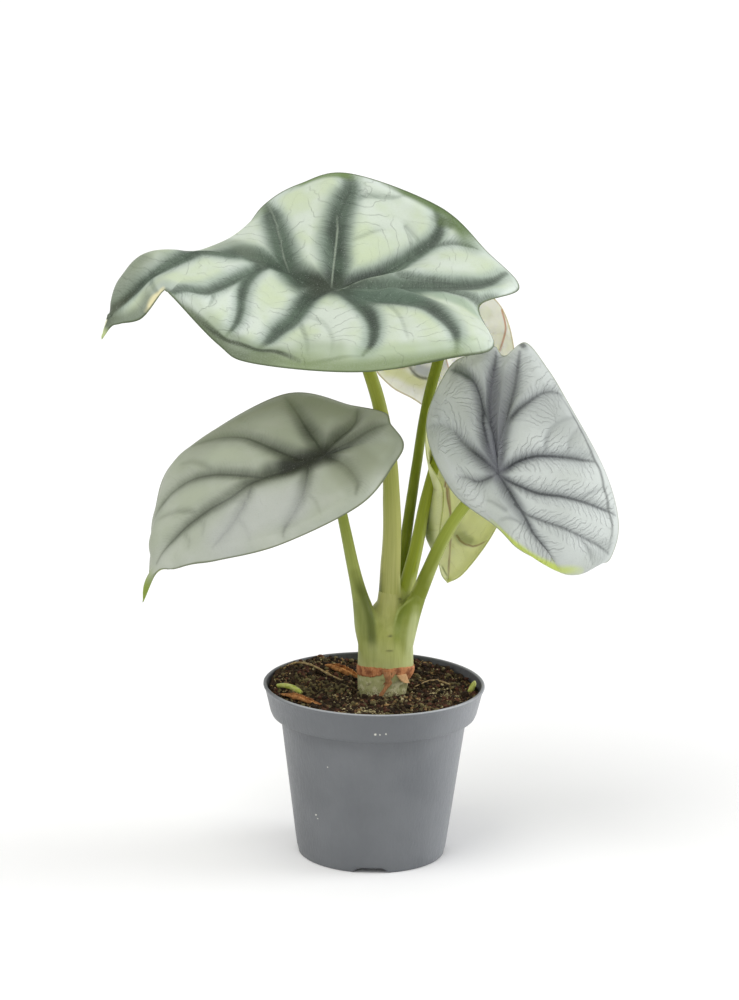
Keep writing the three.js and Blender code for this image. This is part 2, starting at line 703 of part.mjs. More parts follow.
// A stalk gives way to the stem, to its blade and to the stalks placed before it.
const placedStalks = [];
for (const [name, leaf] of Object.entries(leaves)) {
  const solid = makeBlade(leaf.form);
  addPiece(`${name}_leaf_blade`, solid, leaf.look);
  const route = stalkRoutes[name];
  let stalk = makeStalk(route).subtract(stemSpace).subtract(makeBlade(leaf.form, seatGap));
  for (const other of placedStalks) {
    stalk = stalk.subtract(other);
  }
  addPiece(`${name}_leaf_stalk`, stalk, finish.stalk);
  placedStalks.push(makeStalk(route, seatGap));
}

for (const name of Object.keys(litterRoutes)) {
  const dry = name.startsWith("root") ? finish.root : finish.dried;
  addPiece(name, makeLitter(name), name.includes("shoot") ? finish.greenShoot : dry);
}

export default plant;
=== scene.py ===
"""A silver-leaved alocasia in a grey nursery pot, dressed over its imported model.

Everything is in metres in the part's own frame: the origin is the middle of the pot's foot, +Z is up,
the viewer of the photograph stands on the -Y side and +X is to the viewer's right.
"""

import math
import random

import bpy
import numpy as np
from bpy.props import CollectionProperty, FloatProperty, FloatVectorProperty, IntProperty, PointerProperty
from mathutils import Matrix, Vector, noise


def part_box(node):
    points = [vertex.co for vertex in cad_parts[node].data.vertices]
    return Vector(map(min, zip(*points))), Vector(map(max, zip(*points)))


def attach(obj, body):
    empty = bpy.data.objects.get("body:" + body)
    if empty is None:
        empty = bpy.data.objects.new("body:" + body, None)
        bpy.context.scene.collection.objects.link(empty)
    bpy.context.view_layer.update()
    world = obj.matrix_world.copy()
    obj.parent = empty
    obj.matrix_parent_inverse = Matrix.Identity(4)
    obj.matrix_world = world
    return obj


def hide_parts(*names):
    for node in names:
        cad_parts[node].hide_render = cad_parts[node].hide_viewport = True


bl_info = {
    "name": "Potted alocasia",
    "version": (1, 0, 0),
    "blender": (4, 5, 0),
    "location": "3D View > Sidebar > Alocasia",
    "description": "Builds the leaves, stalks, stem, soil and pot of a potted alocasia",
    "category": "Object",
}

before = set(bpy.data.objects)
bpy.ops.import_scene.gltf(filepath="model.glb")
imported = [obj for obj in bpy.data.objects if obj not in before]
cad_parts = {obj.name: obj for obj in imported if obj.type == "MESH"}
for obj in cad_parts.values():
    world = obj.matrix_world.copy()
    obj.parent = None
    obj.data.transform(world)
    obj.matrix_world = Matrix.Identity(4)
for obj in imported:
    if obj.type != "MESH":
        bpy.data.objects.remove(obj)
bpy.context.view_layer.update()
_, POT_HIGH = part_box("pot")

MM = 0.001

# The viewer of the photograph, in millimetres, and the photograph's size in pixels.
VIEWER_AT = (-4.2, -1724, 612)
VIEWER_TARGET = (-4.2, 0, 196.6)
VIEWER_ROLL = math.radians(1)
LENS_MM = 119.34
SENSOR_MM = 36
PHOTO_WIDTH, PHOTO_HEIGHT = 739, 1000

# ----- leaves
# Veins, where they show in the photograph: how dark they are, their half width in millimetres at the
# start and at the end, and their route in the photograph's pixels.
TOP_VEINS = [
    (1, 5.2, 2.2, [(337, 291), (317, 286), (291, 275), (268, 264), (245, 257), (222, 253), (205, 252),
     (188, 258), (168, 269), (147, 283), (127, 299), (113, 312), (104, 325)]),
    (0.85, 3.4, 1.5, [(268, 266), (251, 275), (234, 283), (213, 292), (202, 295), (185, 293), (172, 293),
     (164, 292)]),
    (0.9, 3.8, 1.2, [(258, 270), (246, 283), (241, 298), (240, 312), (236, 325), (228, 335), (224, 341)]),
    (1, 6, 2.4, [(337, 291), (322, 292), (308, 301), (300, 312), (291, 324), (279, 332), (268, 344),
     (259, 352)]),
    (1, 5.6, 1.8, [(337, 291), (350, 298), (363, 309), (373, 324), (374, 338), (370, 349), (363, 358)]),
    (0.95, 5.6, 2.2, [(337, 291), (371, 301), (400, 303), (423, 307), (440, 318), (453, 332), (456, 349),
     (455, 356)]),
    (0.9, 7, 2.6, [(337, 291), (371, 291), (406, 289), (440, 290), (470, 288), (492, 283), (505, 276)]),
    (0.6, 2.6, 1.8, [(440, 293), (462, 299), (480, 303), (500, 303)]),
    (0.95, 5.4, 3.2, [(337, 290), (357, 284), (377, 278), (400, 266), (420, 253), (434, 242), (440, 228),
     (438, 218), (436, 212)]),
    (0.7, 2.4, 1.6, [(400, 280), (430, 284), (458, 287), (482, 286)]),
    (1, 7, 5.2, [(337, 291), (334, 279), (334, 265), (334, 246), (338, 222), (344, 203), (350, 191),
     (348, 180), (345, 175)]),
    (1, 7.4, 4.6, [(300, 283), (288, 271), (283, 255), (278, 235), (272, 217), (267, 208), (262, 202)]),
    (0.4, 1.6, 1.1, [(350, 203), (366, 199), (389, 200), (403, 197)]),
    (0.5, 1.8, 1.2, [(430, 249), (452, 246), (468, 249), (476, 252)]),
    (0.3, 1.4, 1, [(301, 329), (307, 344), (308, 360)]),
    (0.2, 1.2, 1, [(308, 321), (325, 329), (333, 344), (331, 360)]),
    (0.2, 1.1, 0.9, [(385, 308), (400, 322), (408, 344)]),
    (0.4, 1.4, 1, [(152, 281), (157, 290), (161, 300)]),
    (0.35, 1.3, 0.8, [(213, 292), (211, 302), (206, 311)]),
    (0.2, 1.2, 0.8, [(186, 266), (182, 258), (184, 252)]),
    (0.25, 1.2, 0.8, [(349, 243), (372, 234), (384, 232)]),
    (0.3, 1.3, 0.9, [(404, 230), (418, 244), (432, 250)]),
    (0.25, 1.2, 0.8, [(412, 255), (408, 240), (402, 228)]),
]
LEFT_VEINS = [
    (0.95, 4.2, 1.2, [(324, 455), (308, 463), (287, 472), (267, 478), (248, 487), (230, 500), (213, 509),
     (202, 517), (191, 526), (178, 539), (167, 552), (160, 565)]),
    (0.9, 3.6, 1.4, [(324, 455), (304, 461), (282, 454), (263, 446), (245, 440), (226, 440), (210, 443),
     (194, 449)]),
    (0.75, 2.6, 1.2, [(263, 479), (241, 477), (222, 476), (204, 478), (189, 484), (174, 495), (165, 506),
     (158, 519)]),
    (0.35, 1.5, 1, [(213, 472), (204, 466), (193, 464), (182, 467)]),
    (0.9, 4.4, 2.2, [(324, 455), (316, 443), (308, 432), (301, 421), (294, 410), (286, 400)]),
    (0.85, 3.8, 1.8, [(324, 455), (339, 440), (350, 432), (357, 423), (358, 411)]),
    (0.75, 3.4, 1.8, [(324, 456), (348, 446), (368, 434), (383, 427), (391, 423)]),
    (0.8, 3.4, 1.5, [(324, 457), (343, 465), (352, 474), (358, 485), (356, 496)]),
    (0.8, 3, 1.3, [(309, 466), (306, 484), (302, 500), (295, 515), (287, 528), (284, 538)]),
    (0.6, 2.2, 1, [(252, 489), (247, 502), (241, 513), (232, 528), (223, 539), (214, 551)]),
    (0.25, 1.2, 0.8, [(241, 522), (248, 533), (252, 546)]),
    (0.4, 1.3, 0.9, [(202, 516), (191, 513), (176, 515), (162, 522)]),
    (0.3, 1.2, 0.8, [(202, 517), (206, 528), (205, 540)]),
    (0.3, 1.2, 0.8, [(185, 532), (191, 543), (191, 552)]),
    (0.25, 1.2, 0.8, [(306, 496), (316, 503), (322, 518)]),
]
RIGHT_VEINS = [
    (0.85, 2.8, 1.3, [(499, 474), (508, 488), (516, 501), (526, 517), (535, 533), (545, 545), (556, 558)]),
    (0.9, 3, 1.8, [(499, 472), (489, 448), (484, 428), (482, 413), (479, 397), (473, 383), (463, 375),
     (452, 370)]),
    (0.95, 3.2, 2, [(499, 472), (494, 444), (491, 424), (490, 409), (491, 389), (494, 369), (496, 352)]),
    (0.85, 3, 1.6, [(499, 472), (503, 448), (506, 428), (510, 409), (515, 389), (518, 369), (520, 353)]),
    (0.85, 1.9, 1, [(504, 432), (516, 413), (528, 403), (540, 395), (552, 393), (563, 396)]),
    (0.95, 2.3, 1.2, [(499, 472), (508, 468), (518, 462), (534, 457), (552, 457), (570, 459), (591, 463)]),
    (0.8, 1.9, 1, [(499, 473), (508, 480), (524, 488), (540, 494), (562, 497), (580, 502), (595, 508),
     (613, 516)]),
    (0.5, 1.5, 0.9, [(516, 504), (526, 513), (544, 521), (564, 529), (580, 537), (595, 545), (607, 554)]),
    (0.9, 2.8, 1.3, [(499, 472), (489, 464), (477, 454), (463, 442), (453, 430), (441, 425), (429, 428)]),
    (0.6, 2, 1.5, [(499, 473), (481, 481), (469, 477), (458, 476)]),
    (0.35, 1.2, 0.8, [(526, 523), (512, 518), (500, 521)]),
    (0.3, 1, 0.8, [(508, 509), (495, 501), (487, 499)]),
    (0.4, 1.3, 0.9, [(544, 456), (546, 438), (554, 426), (568, 419), (578, 418)]),
    (0.3, 1.1, 0.8, [(565, 458), (568, 440), (578, 428)]),
    (0.3, 1.1, 0.8, [(576, 501), (587, 494), (605, 488)]),
    (0.3, 1.1, 0.8, [(446, 427), (438, 412), (440, 396)]),
    (0.3, 1.2, 0.9, [(566, 530), (582, 543), (590, 560)]),
]
BACK_VEINS = [(1, 0.9, 0.7, [(502, 309), (506, 327), (503, 341), (499, 353)])]
HANGING_VEINS = [
    (1, 0.9, 0.7, [(445, 478), (444, 497), (443, 517), (441, 535)]),
    (1, 1, 0.8, [(446, 487), (447, 499), (451, 517), (453, 528)]),
    (0.9, 1.2, 0.6, [(457, 535), (461, 541), (468, 545), (476, 546), (487, 541)]),
]

# Brushed colours on the leaves and the stem: colour, strength, half width in millimetres at the start
# and at the end, and the route in the photograph's pixels. A later one lies over the earlier ones.
# Some marks are painted shade and some painted light; each such mark is noted where it stands.
TOP_PAINT = [
    # Painted shade: the next two marks darken the tip's left part, which slopes away from the light.
    ((92, 102, 80), 0.75, 5.5, 6, [(160, 247), (138, 256), (120, 272), (106, 298), (101, 325), (99, 332)]),
    ((92, 102, 78), 0.75, 5, 4, [(98, 330), (112, 326), (128, 321), (144, 313), (152, 302), (160, 290)]),
    ((66, 74, 56), 0.7, 1.6, 2.6, [(136, 293), (125, 302), (113, 312), (104, 325)]),
    ((118, 130, 112), 0.5, 3.5, 3, [(206, 251), (232, 250), (252, 258), (262, 264)]),
    ((54, 62, 48), 0.85, 7, 6, [(300, 281), (322, 288), (340, 291), (362, 291)]),
    ((84, 104, 88), 0.8, 5.5, 4.5, [(345, 294), (380, 296), (410, 297), (434, 299)]),
    ((146, 166, 144), 0.75, 2.6, 2.2, [(428, 299), (448, 304), (466, 311), (480, 324)]),
    # Painted shade: the next three marks darken the front panels towards the rim, where they turn from the
    # light.
    ((138, 152, 122), 0.7, 6, 6, [(192, 314), (216, 338), (240, 352), (268, 360), (300, 363)]),
    ((142, 158, 122), 0.65, 7, 5, [(290, 354), (320, 356), (352, 356)]),
    ((150, 168, 130), 0.5, 4.5, 4, [(340, 362), (380, 358), (430, 353), (488, 346)]),
    ((112, 126, 100), 0.55, 3.5, 3, [(222, 334), (240, 348), (262, 356), (290, 360)]),
    ((98, 122, 58), 0.9, 3, 3, [(291, 187), (312, 179), (338, 175), (358, 177)]),
    ((82, 104, 50), 0.95, 1.8, 5, [(384, 184), (405, 193), (425, 202), (446, 212), (460, 228),
     (472, 250)]),
    ((84, 102, 62), 0.85, 3.2, 2, [(436, 220), (446, 224), (456, 230)]),
    ((104, 124, 76), 0.5, 4.5, 2.5, [(264, 204), (252, 218), (240, 230)]),
    ((90, 104, 78), 0.6, 0.7, 0.7, [(176, 302), (196, 316), (216, 334), (236, 348), (262, 357), (292, 365),
     (320, 365), (363, 359)]),
    ((98, 110, 84), 1, 1.6, 5, [(172, 300), (190, 320), (210, 343), (234, 359), (290, 372)]),
    ((122, 138, 94), 0.9, 5, 3, [(256, 368), (292, 374), (320, 374), (363, 370), (405, 366), (440, 362),
     (484, 357)]),
    ((62, 72, 50), 1, 0.9, 0.8, [(196, 318), (214, 334), (236, 347), (256, 353), (280, 358), (300, 364)]),
    ((76, 86, 52), 0.9, 0.7, 0.7, [(400, 368), (430, 364), (460, 360), (486, 354), (494, 346)]),
    ((222, 215, 170), 1, 0.7, 1.2, [(164, 291), (157, 296), (152, 303), (148, 312)]),
    ((176, 188, 168), 0.45, 0.6, 0.5, [(337, 217), (337, 232), (335, 250), (333, 268), (331, 288)]),
    ((168, 180, 162), 0.35, 0.5, 0.5, [(269, 206), (275, 220), (280, 238), (283, 255), (289, 272)]),
    ((168, 180, 162), 0.4, 0.5, 0.4, [(335, 292), (352, 287), (374, 284), (390, 277), (406, 266)]),
]
LEFT_PAINT = [
    # Painted shade: the next two marks darken the upper edge, which lies in the top leaf's shadow.
    ((106, 114, 88), 0.6, 11, 12, [(168, 480), (200, 441), (250, 405), (290, 396), (340, 402),
     (385, 412)]),
    ((112, 120, 94), 0.5, 5, 5, [(395, 420), (402, 438), (396, 458), (388, 474)]),
    ((124, 130, 110), 0.4, 5, 6, [(158, 500), (153, 530), (150, 560), (156, 574)]),
    ((174, 177, 175), 0.6, 12, 12, [(205, 560), (225, 545), (252, 520), (290, 508), (320, 500)]),
    ((126, 132, 110), 0.6, 10, 9, [(330, 486), (356, 470), (380, 455)]),
    ((20, 24, 12), 0.92, 4.5, 6, [(272, 471), (290, 467), (308, 462), (324, 456), (338, 446)]),
]
RIGHT_PAINT = [
    ((104, 106, 112), 0.6, 3.5, 5, [(494, 372), (496, 400), (498, 430), (499, 466)]),
    ((122, 124, 131), 0.5, 6, 4, [(490, 440), (500, 470), (506, 482)]),
    ((126, 128, 134), 0.55, 9, 2, [(501, 362), (499, 400), (498, 435), (499, 466)]),
    ((148, 153, 150), 0.5, 14, 8, [(532, 396), (552, 410), (570, 432), (586, 448)]),
    # Painted light: this mark makes the left edge paler against the shade that falls on it.
    ((194, 200, 203), 0.6, 8, 8, [(434, 392), (436, 418), (446, 440)]),
    ((92, 96, 94), 0.8, 0.6, 0.6, [(558, 395), (572, 417), (585, 449), (595, 469), (603, 501), (608, 528),
     (605, 552)]),
    ((184, 190, 184), 0.5, 1.2, 1.2, [(566, 390), (584, 416), (600, 440), (612, 468), (618, 505),
     (619, 545)]),
    ((186, 193, 187), 0.5, 9, 9, [(446, 410), (444, 440), (462, 466)]),
    ((206, 211, 209), 0.5, 4, 4, [(434, 440), (446, 462), (470, 492), (492, 516)]),
    ((58, 62, 62), 0.8, 1.6, 1.6, [(521, 343), (525, 349)]),
    ((76, 88, 74), 0.6, 3, 2, [(452, 368), (462, 372), (472, 380)]),
    ((192, 208, 96), 1, 1.4, 1.8, [(492, 521), (506, 535), (520, 547), (540, 558), (560, 564),
     (578, 566)]),
]
BACK_PAINT = [
    ((208, 216, 190), 0.4, 4, 4, [(480, 318), (490, 308)]),
    ((224, 225, 188), 0.8, 3, 3, [(378, 372), (396, 372), (412, 380), (430, 386)]),
    ((196, 198, 214), 0.95, 3.2, 3.2, [(414, 366), (422, 371), (431, 374)]),
    ((86, 88, 80), 0.8, 0.8, 0.8, [(409, 365), (414, 373), (421, 378), (431, 380)]),
    ((150, 120, 84), 0.7, 0.7, 0.7, [(384, 367), (398, 368), (410, 367)]),
]
HANGING_PAINT = [
    ((118, 130, 60), 0.85, 3, 3, [(429, 478), (430, 500), (430, 525), (432, 548)]),
    ((214, 217, 178), 0.8, 1.4, 1.4, [(440, 476), (440, 500), (440, 525), (439, 545)]),
    ((128, 136, 70), 0.5, 4, 2, [(459, 530), (462, 538), (474, 542)]),
    ((96, 110, 46), 0.6, 0.7, 0.5, [(442, 566), (445, 572), (447, 576)]),
]
STEM_PAINT = [
    ((120, 128, 66), 0.6, 4.5, 3, [(357, 596), (362, 612), (366, 628), (368, 646)]),
    ((168, 170, 92), 0.6, 4.5, 4, [(388, 600), (387, 615), (386, 635), (386, 655)]),
    ((140, 151, 62), 0.6, 5.5, 3, [(416, 596), (408, 610), (404, 625), (402, 645)]),
    # Painted shade on the left stalk's shaded right side and in the crease beside it.
    ((80, 90, 24), 0.85, 2.6, 2.2, [(355, 574), (362, 592), (368, 608), (371, 624), (372, 640),
     (374, 658)]),
    # Painted shade below the sheath's raised edge on the right.
    ((116, 132, 42), 0.65, 2.4, 1.6, [(411, 602), (403, 610), (398, 622), (396, 642)]),
    # Painted light along the lit right side of the right stalk.
    ((166, 174, 104), 0.6, 1.8, 1.6, [(428, 586), (434, 572), (444, 554), (454, 536), (463, 518)]),
    # The next two marks are painted highlights on the bright edge of the sheath at the junction.
    ((188, 193, 124), 0.7, 1.4, 1.2, [(414, 576), (411, 588), (408, 598)]),
    ((186, 196, 122), 0.6, 0.6, 0.6, [(413, 598), (404, 605), (398, 612), (394, 626)]),
    ((192, 199, 146), 0.65, 2, 3.2, [(416, 608), (412, 634), (410, 660)]),
    ((174, 178, 110), 0.55, 5, 6, [(366, 656), (384, 652), (404, 658)]),
    # Painted shade in the hollow under the dried flake.
    ((96, 88, 52), 0.75, 1.6, 2.6, [(391, 687), (400, 684), (408, 682), (414, 677)]),
    ((84, 84, 50), 0.9, 0.5, 0.5, [(388, 636), (392, 636)]),
    ((96, 98, 56), 0.8, 0.5, 0.5, [(386, 651), (393, 651)]),
    ((84, 84, 50), 0.8, 0.5, 0.5, [(398, 599), (402, 599)]),
    ((98, 90, 46), 0.9, 0.6, 0.5, [(366, 686), (372, 682)]),
    ((98, 90, 46), 0.7, 0.5, 0.5, [(380, 680), (384, 680)]),
]

# Each blade is a fan of ribs on both sides of its midrib, in millimetres. A rib leaves the midrib at
# `along` (0 where the stalk joins, 1 at the tip). It then gives a point half way out and a point on
# the edge for the left side, and both again for the right side. `cleft` gives these two points where
# the lobes part, and `rib_veins` the ribs that carry a vein. `swell` is how far the panels rise between
# the veins, `rim_roll` how far the rim turns down and `spacing` the gap between the mesh's points.
# `band` gives where a vein's dark band starts and stops to thin out, in its half widths, and `fade` how
# much weaker it gets on its way.
TOP_LEAF = {
    "midrib": [
        (-23, 5, 309), (-38, 8, 314), (-55, 10, 320), (-75, 10, 325), (-94, 8, 328),
        (-110, 2, 324), (-122, -4, 315), (-130, -9, 307), (-140, -14, 297), (-146, -18, 285),
    ],
    "ribs": [
        (0.955, (-142, -17, 292), (-141, -18, 292), (-144, -16, 289), (-146, -15, 287)),
        (0.9, (-137, -17, 295), (-136, -19, 294), (-141, -12, 297), (-143.5, -9, 291)),
        (0.8, (-127, -16, 302), (-125, -20, 297), (-134, -3, 313), (-138, 3, 305)),
        (0.68, (-116, -14, 315), (-114, -26, 312), (-122, 12, 323), (-119, 24, 306)),
        (0.46, (-99, -16, 315), (-111, -33, 314), (-88, 22, 323), (-81, 48, 327)),
        (0.245, (-81, -18, 312), (-107, -40, 312), (-53, 34, 332), (-64, 60, 346)),
        (0.16, (-68, -24, 305), (-83, -52, 290), (-38, 36, 335), (-45, 64, 357)),
        (0.09, (-45, -28, 298), (-65, -60, 282.2), (-24, 36, 337), (-18, 65, 363)),
        (0, (-4, -32, 300), (-10, -68, 280.2), (10, 38, 318), (31, 62, 346)),
        (0, (22, -20, 306), (38, -52, 285.4), (25, 28, 316), (57, 50, 324)),
        (0, (23, -10, 305), (59, -28, 287), (26, 18, 312), (74, 30, 308)),
    ],
    "cleft": ((14, 2, 306), (52, 0, 303)),
    "veins": TOP_VEINS, "paint": TOP_PAINT,
    "spacing": 1.0, "swell": 3.4, "rim_roll": 0.4, "band": (0.4, 1.5), "fade": 0.15,
}
LEFT_LEAF = {
    "midrib": [
        (-28, -35, 228), (-45, -39, 222), (-62, -42, 217), (-83, -46, 207),
        (-97, -49, 194), (-109, -51, 179), (-117, -52, 166), (-122, -52, 152),
    ],
    "ribs": [
        (0.9, (-116, -54, 166), (-114, -56, 170), (-118, -51, 165), (-119, -50, 165)),
        (0.76, (-108, -57, 176), (-105, -62, 173), (-114, -46, 176), (-119, -40, 172)),
        (0.6, (-96, -60, 186), (-95, -70, 178), (-111, -40, 188), (-119, -30, 177)),
        (0.34, (-68, -58, 203), (-81, -76, 182), (-91, -30, 214), (-118, -20, 193)),
        (0.12, (-39, -58, 208), (-49, -80, 192), (-71, -20, 232), (-106, -6, 220)),
        (0.03, (-15, -50, 222), (-9, -66, 210), (-38, -16, 239), (-52, 6, 252)),
        (0, (-11, -42, 229), (8, -46, 227), (-17, -24, 238), (-14, -4, 249)),
        (0, (-12, -37, 233), (13, -36, 236), (-14, -32, 237), (3, -21, 249)),
    ],
    "cleft": ((-13, -36, 236), (6, -29, 245)),
    "veins": LEFT_VEINS, "paint": LEFT_PAINT,
    "spacing": 1.1, "swell": 2.4, "rim_roll": 0.3, "band": (0.0, 2.0), "fade": 0.4,
}
RIGHT_LEAF = {
    "midrib": [
        (64, -25, 216), (67, -28, 212), (75, -34, 200), (81, -37, 191), (87, -40, 184),
        (95, -41, 176), (100, -34, 170), (103, -22, 171), (102, -12, 174),
    ],
    "ribs": [
        (0.93, (103, -17, 171), (105, -16, 171), (101, -18, 171), (99, -18, 171)),
        (0.8, (105, -32, 169), (112, -24, 169), (96, -36, 171), (91, -34, 172)),
        (0.58, (102, -42, 176), (118, -30, 171), (81, -40, 181), (75, -38, 180)),
        (0.33, (100, -40, 192), (124, -30, 175), (67, -28, 197), (62, -26, 190)),
        (0.06, (96, -34, 209), (128, -22, 192), (52, -20, 214), (39, -14, 206)),
        (0, (87, -28, 229), (120, -14, 219), (42, -16, 236), (25, -6, 238)),
        (0, (72, -18, 248), (99, -6, 255), (53, -14, 248), (36, -2, 269)),
        (0, (71, -15, 250), (89, 0, 270), (55, -12, 249), (49, 2, 277)),
        (0, (68, -13, 250), (77, 4, 283), (57, -11, 248), (60, 4, 281)),
    ],
    "cleft": ((63, -11, 248), (66, 2, 276)),
    "veins": RIGHT_VEINS, "paint": RIGHT_PAINT,
    "spacing": 1.0, "swell": 2.8, "rim_roll": 0.6, "band": (0.0, 1.9), "fade": 0.3,
}
BACK_LEAF = {
    "midrib": [(34, 52, 272), (39, 58, 254), (45, 66, 235), (50, 76, 219), (54, 86, 207)],
    "ribs": [
        (0.88, (50, 80, 213), (48, 78, 215), (56, 82, 213), (59, 82, 212)),
        (0.6, (40, 70, 227), (35, 66, 227), (57, 76, 226), (69, 76, 221)),
        (0.33, (30, 62, 248), (20, 60, 239), (59, 70, 247), (75, 70, 240)),
        (0.08, (21, 60, 258), (6, 54, 248), (56, 66, 267), (74, 64, 266)),
        (0, (17, 58, 267), (-4, 50, 262), (52, 62, 278), (69, 60, 286)),
        (0, (17, 56, 279), (-1, 48, 283), (47, 58, 286), (61, 56, 298)),
        (0, (24, 52, 290), (13, 46, 302), (40, 54, 290), (47, 50, 307)),
    ],
    "cleft": ((33, 53, 284), (31, 50, 296)),
    "veins": BACK_VEINS, "rib_veins": (3, 4, 5, 6, 7), "paint": BACK_PAINT,
    "spacing": 1.0, "swell": 1.8, "rim_roll": 0.3, "band": (0.2, 1.4), "fade": 0.1,
}
HANGING_LEAF = {
    "midrib": [(36, 22, 234), (37, 27, 216), (38, 30, 199), (40, 30, 180), (40, 26, 163), (39, 20, 146)],
    "ribs": [
        (0.9, (38, 20, 154), (35, 16, 153), (43, 20, 153), (47, 16, 152)),
        (0.68, (31, 20, 169), (33, 11, 167), (50, 24, 167), (58, 14, 167)),
        (0.4, (28, 20, 181), (34, 8, 179), (53, 28, 185), (66, 16, 181)),
        (0.12, (30, 20, 204), (35, 8, 201), (54, 30, 207), (73, 18, 199)),
        (0, (29, 17, 226), (26, 8, 219), (54, 30, 224), (72, 20, 220)),
        (0, (30, 19, 237), (26, 14, 242), (49, 26, 237), (62, 20, 240)),
        (0, (32, 20, 243), (32, 18, 251), (41, 22, 243), (44, 18, 252)),
    ],
    "cleft": ((37, 21, 240), (37, 20, 247)),
    "veins": HANGING_VEINS, "rib_veins": (3, 4, 5), "paint": HANGING_PAINT,
    "spacing": 1.0, "swell": 1.6, "rim_roll": 0.3, "band": (0.2, 1.4), "fade": 0.2,
}

# Stalks: (x, y, z, radius) in millimetres, from inside the stem up to the blade.
STALKS = {
    "top": [
        (6, -3, 108, 7.6), (6.4, -2.7, 120, 7.3), (6.8, -2.4, 132, 6.7), (7.2, -2, 142, 6),
        (7.9, -0.6, 166, 5.3),
        (7.9, 0, 190, 4.8), (6, 1.4, 217, 4.3), (0.6, 3.6, 246, 3.8), (-6, 4.6, 267, 3.5),
        (-14, 5, 288, 3.2), (-22.6, 5, 308.4, 3),
    ],
    "right": [
        (9, -5, 106, 8), (12, -5, 116, 7.8), (16.4, -5, 131, 6.6), (22.6, -4.6, 145, 4.4),
        (33.6, -9, 174, 3.6),
        (44.6, -13, 195, 3.2), (54, -17, 206, 3), (63.6, -24.6, 215.6, 2.8),
    ],
    "left": [
        (2, -6, 106, 8), (0, -6, 116, 7.8), (-4, -6.6, 128, 6.6), (-7, -7.6, 140, 4.8),
        (-12, -10.6, 161, 3.4),
        (-19, -15.6, 194, 2.8), (-24, -23.6, 215, 2.7), (-28, -34.6, 227.6, 2.6),
    ],
    "hanging": [
        (12, 1, 112, 7), (15.6, 4, 142, 4.6), (21.4, 9, 168, 3.7), (26, 14, 193, 3.1),
        (30.6, 18, 212, 2.8), (36, 21.8, 233.6, 2.6),
    ],
    "back": [
        (8, 6, 112, 6.4), (12.6, 13, 148, 3.9), (15.6, 19.6, 169, 3.1), (20.6, 32, 205, 2.8),
        (25.6, 42, 238, 2.8), (34, 51.8, 271.6, 3.2),
    ],
}

# Stalk colours low down and high up, and the heights in millimetres between which they change.
STALK_GREENS = {
    "top": ((178, 178, 108), (128, 138, 34), 150, 290),
    "right": ((116, 127, 32), (154, 166, 68), 150, 200),
    "left": ((152, 160, 84), (126, 138, 48), 150, 210),
    "hanging": ((152, 164, 54), (138, 148, 44), 150, 220),
    "back": ((108, 120, 24), (110, 122, 26), 150, 260),
}

# Stem in the soil: height, middle in x and y, half width and half depth, in millimetres.
STEM_SECTIONS = [
    (70, 4, -2, 9, 9), (80, 4.3, -2, 12.6, 12.2), (92, 4.5, -2, 13.2, 12.8), (98, 5, -2, 14, 13.4),
    (103, 6, -2, 15.2, 14.2), (112, 6, -2, 15, 13.8), (119, 5.8, -2, 14.9, 13.2),
    (126, 6.2, -1.6, 15, 12.4), (131, 6.6, -1.2, 13, 10.2), (136, 6.9, -0.8, 9.8, 7.6),
    (141, 7.1, -0.4, 6.4, 5.2),
]


# ----- settings
def colour_setting(name, description, red, green, blue):
    """A colour property from the 0 to 255 values that a paint chart gives."""
    return FloatVectorProperty(
        name=name, description=description, subtype="COLOR", size=4, min=0, max=1,
        default=(*[linear(value) for value in (red, green, blue)], 1),
    )


def length_setting(name, description, millimetres):
    return FloatProperty(name=name, description=description, unit="LENGTH", default=millimetres * MM)


def linear(value):
    """The linear value of an sRGB channel given from 0 to 255."""
    share = value / 255
    return share / 12.92 if share <= 0.04045 else ((share + 0.055) / 1.055) ** 2.4


class PotSettings(bpy.types.PropertyGroup):
    height: length_setting("Height", "Pot's height", POT_HIGH.z / MM)
    rim_radius: length_setting("Rim radius", "Rim's outer radius", POT_HIGH.x / MM)
    foot_radius: length_setting("Foot radius", "Outer radius where the pot stands", 40.3)
    shoulder_radius: length_setting("Shoulder radius", "Body radius right under the rim band", 50.6)
    band_radius: length_setting("Band radius", "Radius of the rim band's lower edge", 55.6)
    band_height: length_setting("Band height", "Height of the rim band", 17)
    wall: length_setting("Wall", "Wall thickness", 1.2)
    plastic: colour_setting("Plastic", "Colour of the moulded plastic", 93, 96, 99)


class SoilSettings(bpy.types.PropertyGroup):
    level: length_setting("Level", "Height of the soil's surface", 90)
    crumbs: IntProperty(name="Crumbs", description="Number of loose crumbs", default=5200, min=0)
    dark: colour_setting("Dark", "Colour of the moist hollows", 40, 30, 22)
    pale: colour_setting("Pale", "Colour of the dry grit", 150, 130, 96)


class StemSettings(bpy.types.PropertyGroup):
    foot: colour_setting("Foot", "Colour just above the soil", 176, 176, 126)
    middle: colour_setting("Middle", "Colour half way up", 158, 164, 86)
    shade: colour_setting("Shade", "Colour of the greener sheaths", 132, 146, 62)
    streak: colour_setting("Streak", "Colour of the fine streaks along a stalk", 92, 108, 30)


class BladeSettings(bpy.types.PropertyGroup):
    thickness: length_setting("Thickness", "Thickness of a blade", 0.9)


class StageSettings(bpy.types.PropertyGroup):
    floor: colour_setting("Floor", "Colour of the floor", 250, 250, 250)
    lens: FloatProperty(name="Lens", description="Camera's focal length", default=LENS_MM, unit="CAMERA")


class AlocasiaSettings(bpy.types.PropertyGroup):
    pot: PointerProperty(type=PotSettings)
    soil: PointerProperty(type=SoilSettings)
    stem: PointerProperty(type=StemSettings)
    blade: PointerProperty(type=BladeSettings)
    stage: PointerProperty(type=StageSettings)


def rgb(red, green, blue):
    return (linear(red), linear(green), linear(blue), 1)


# ----- curves
CURVE_SAMPLES = 401


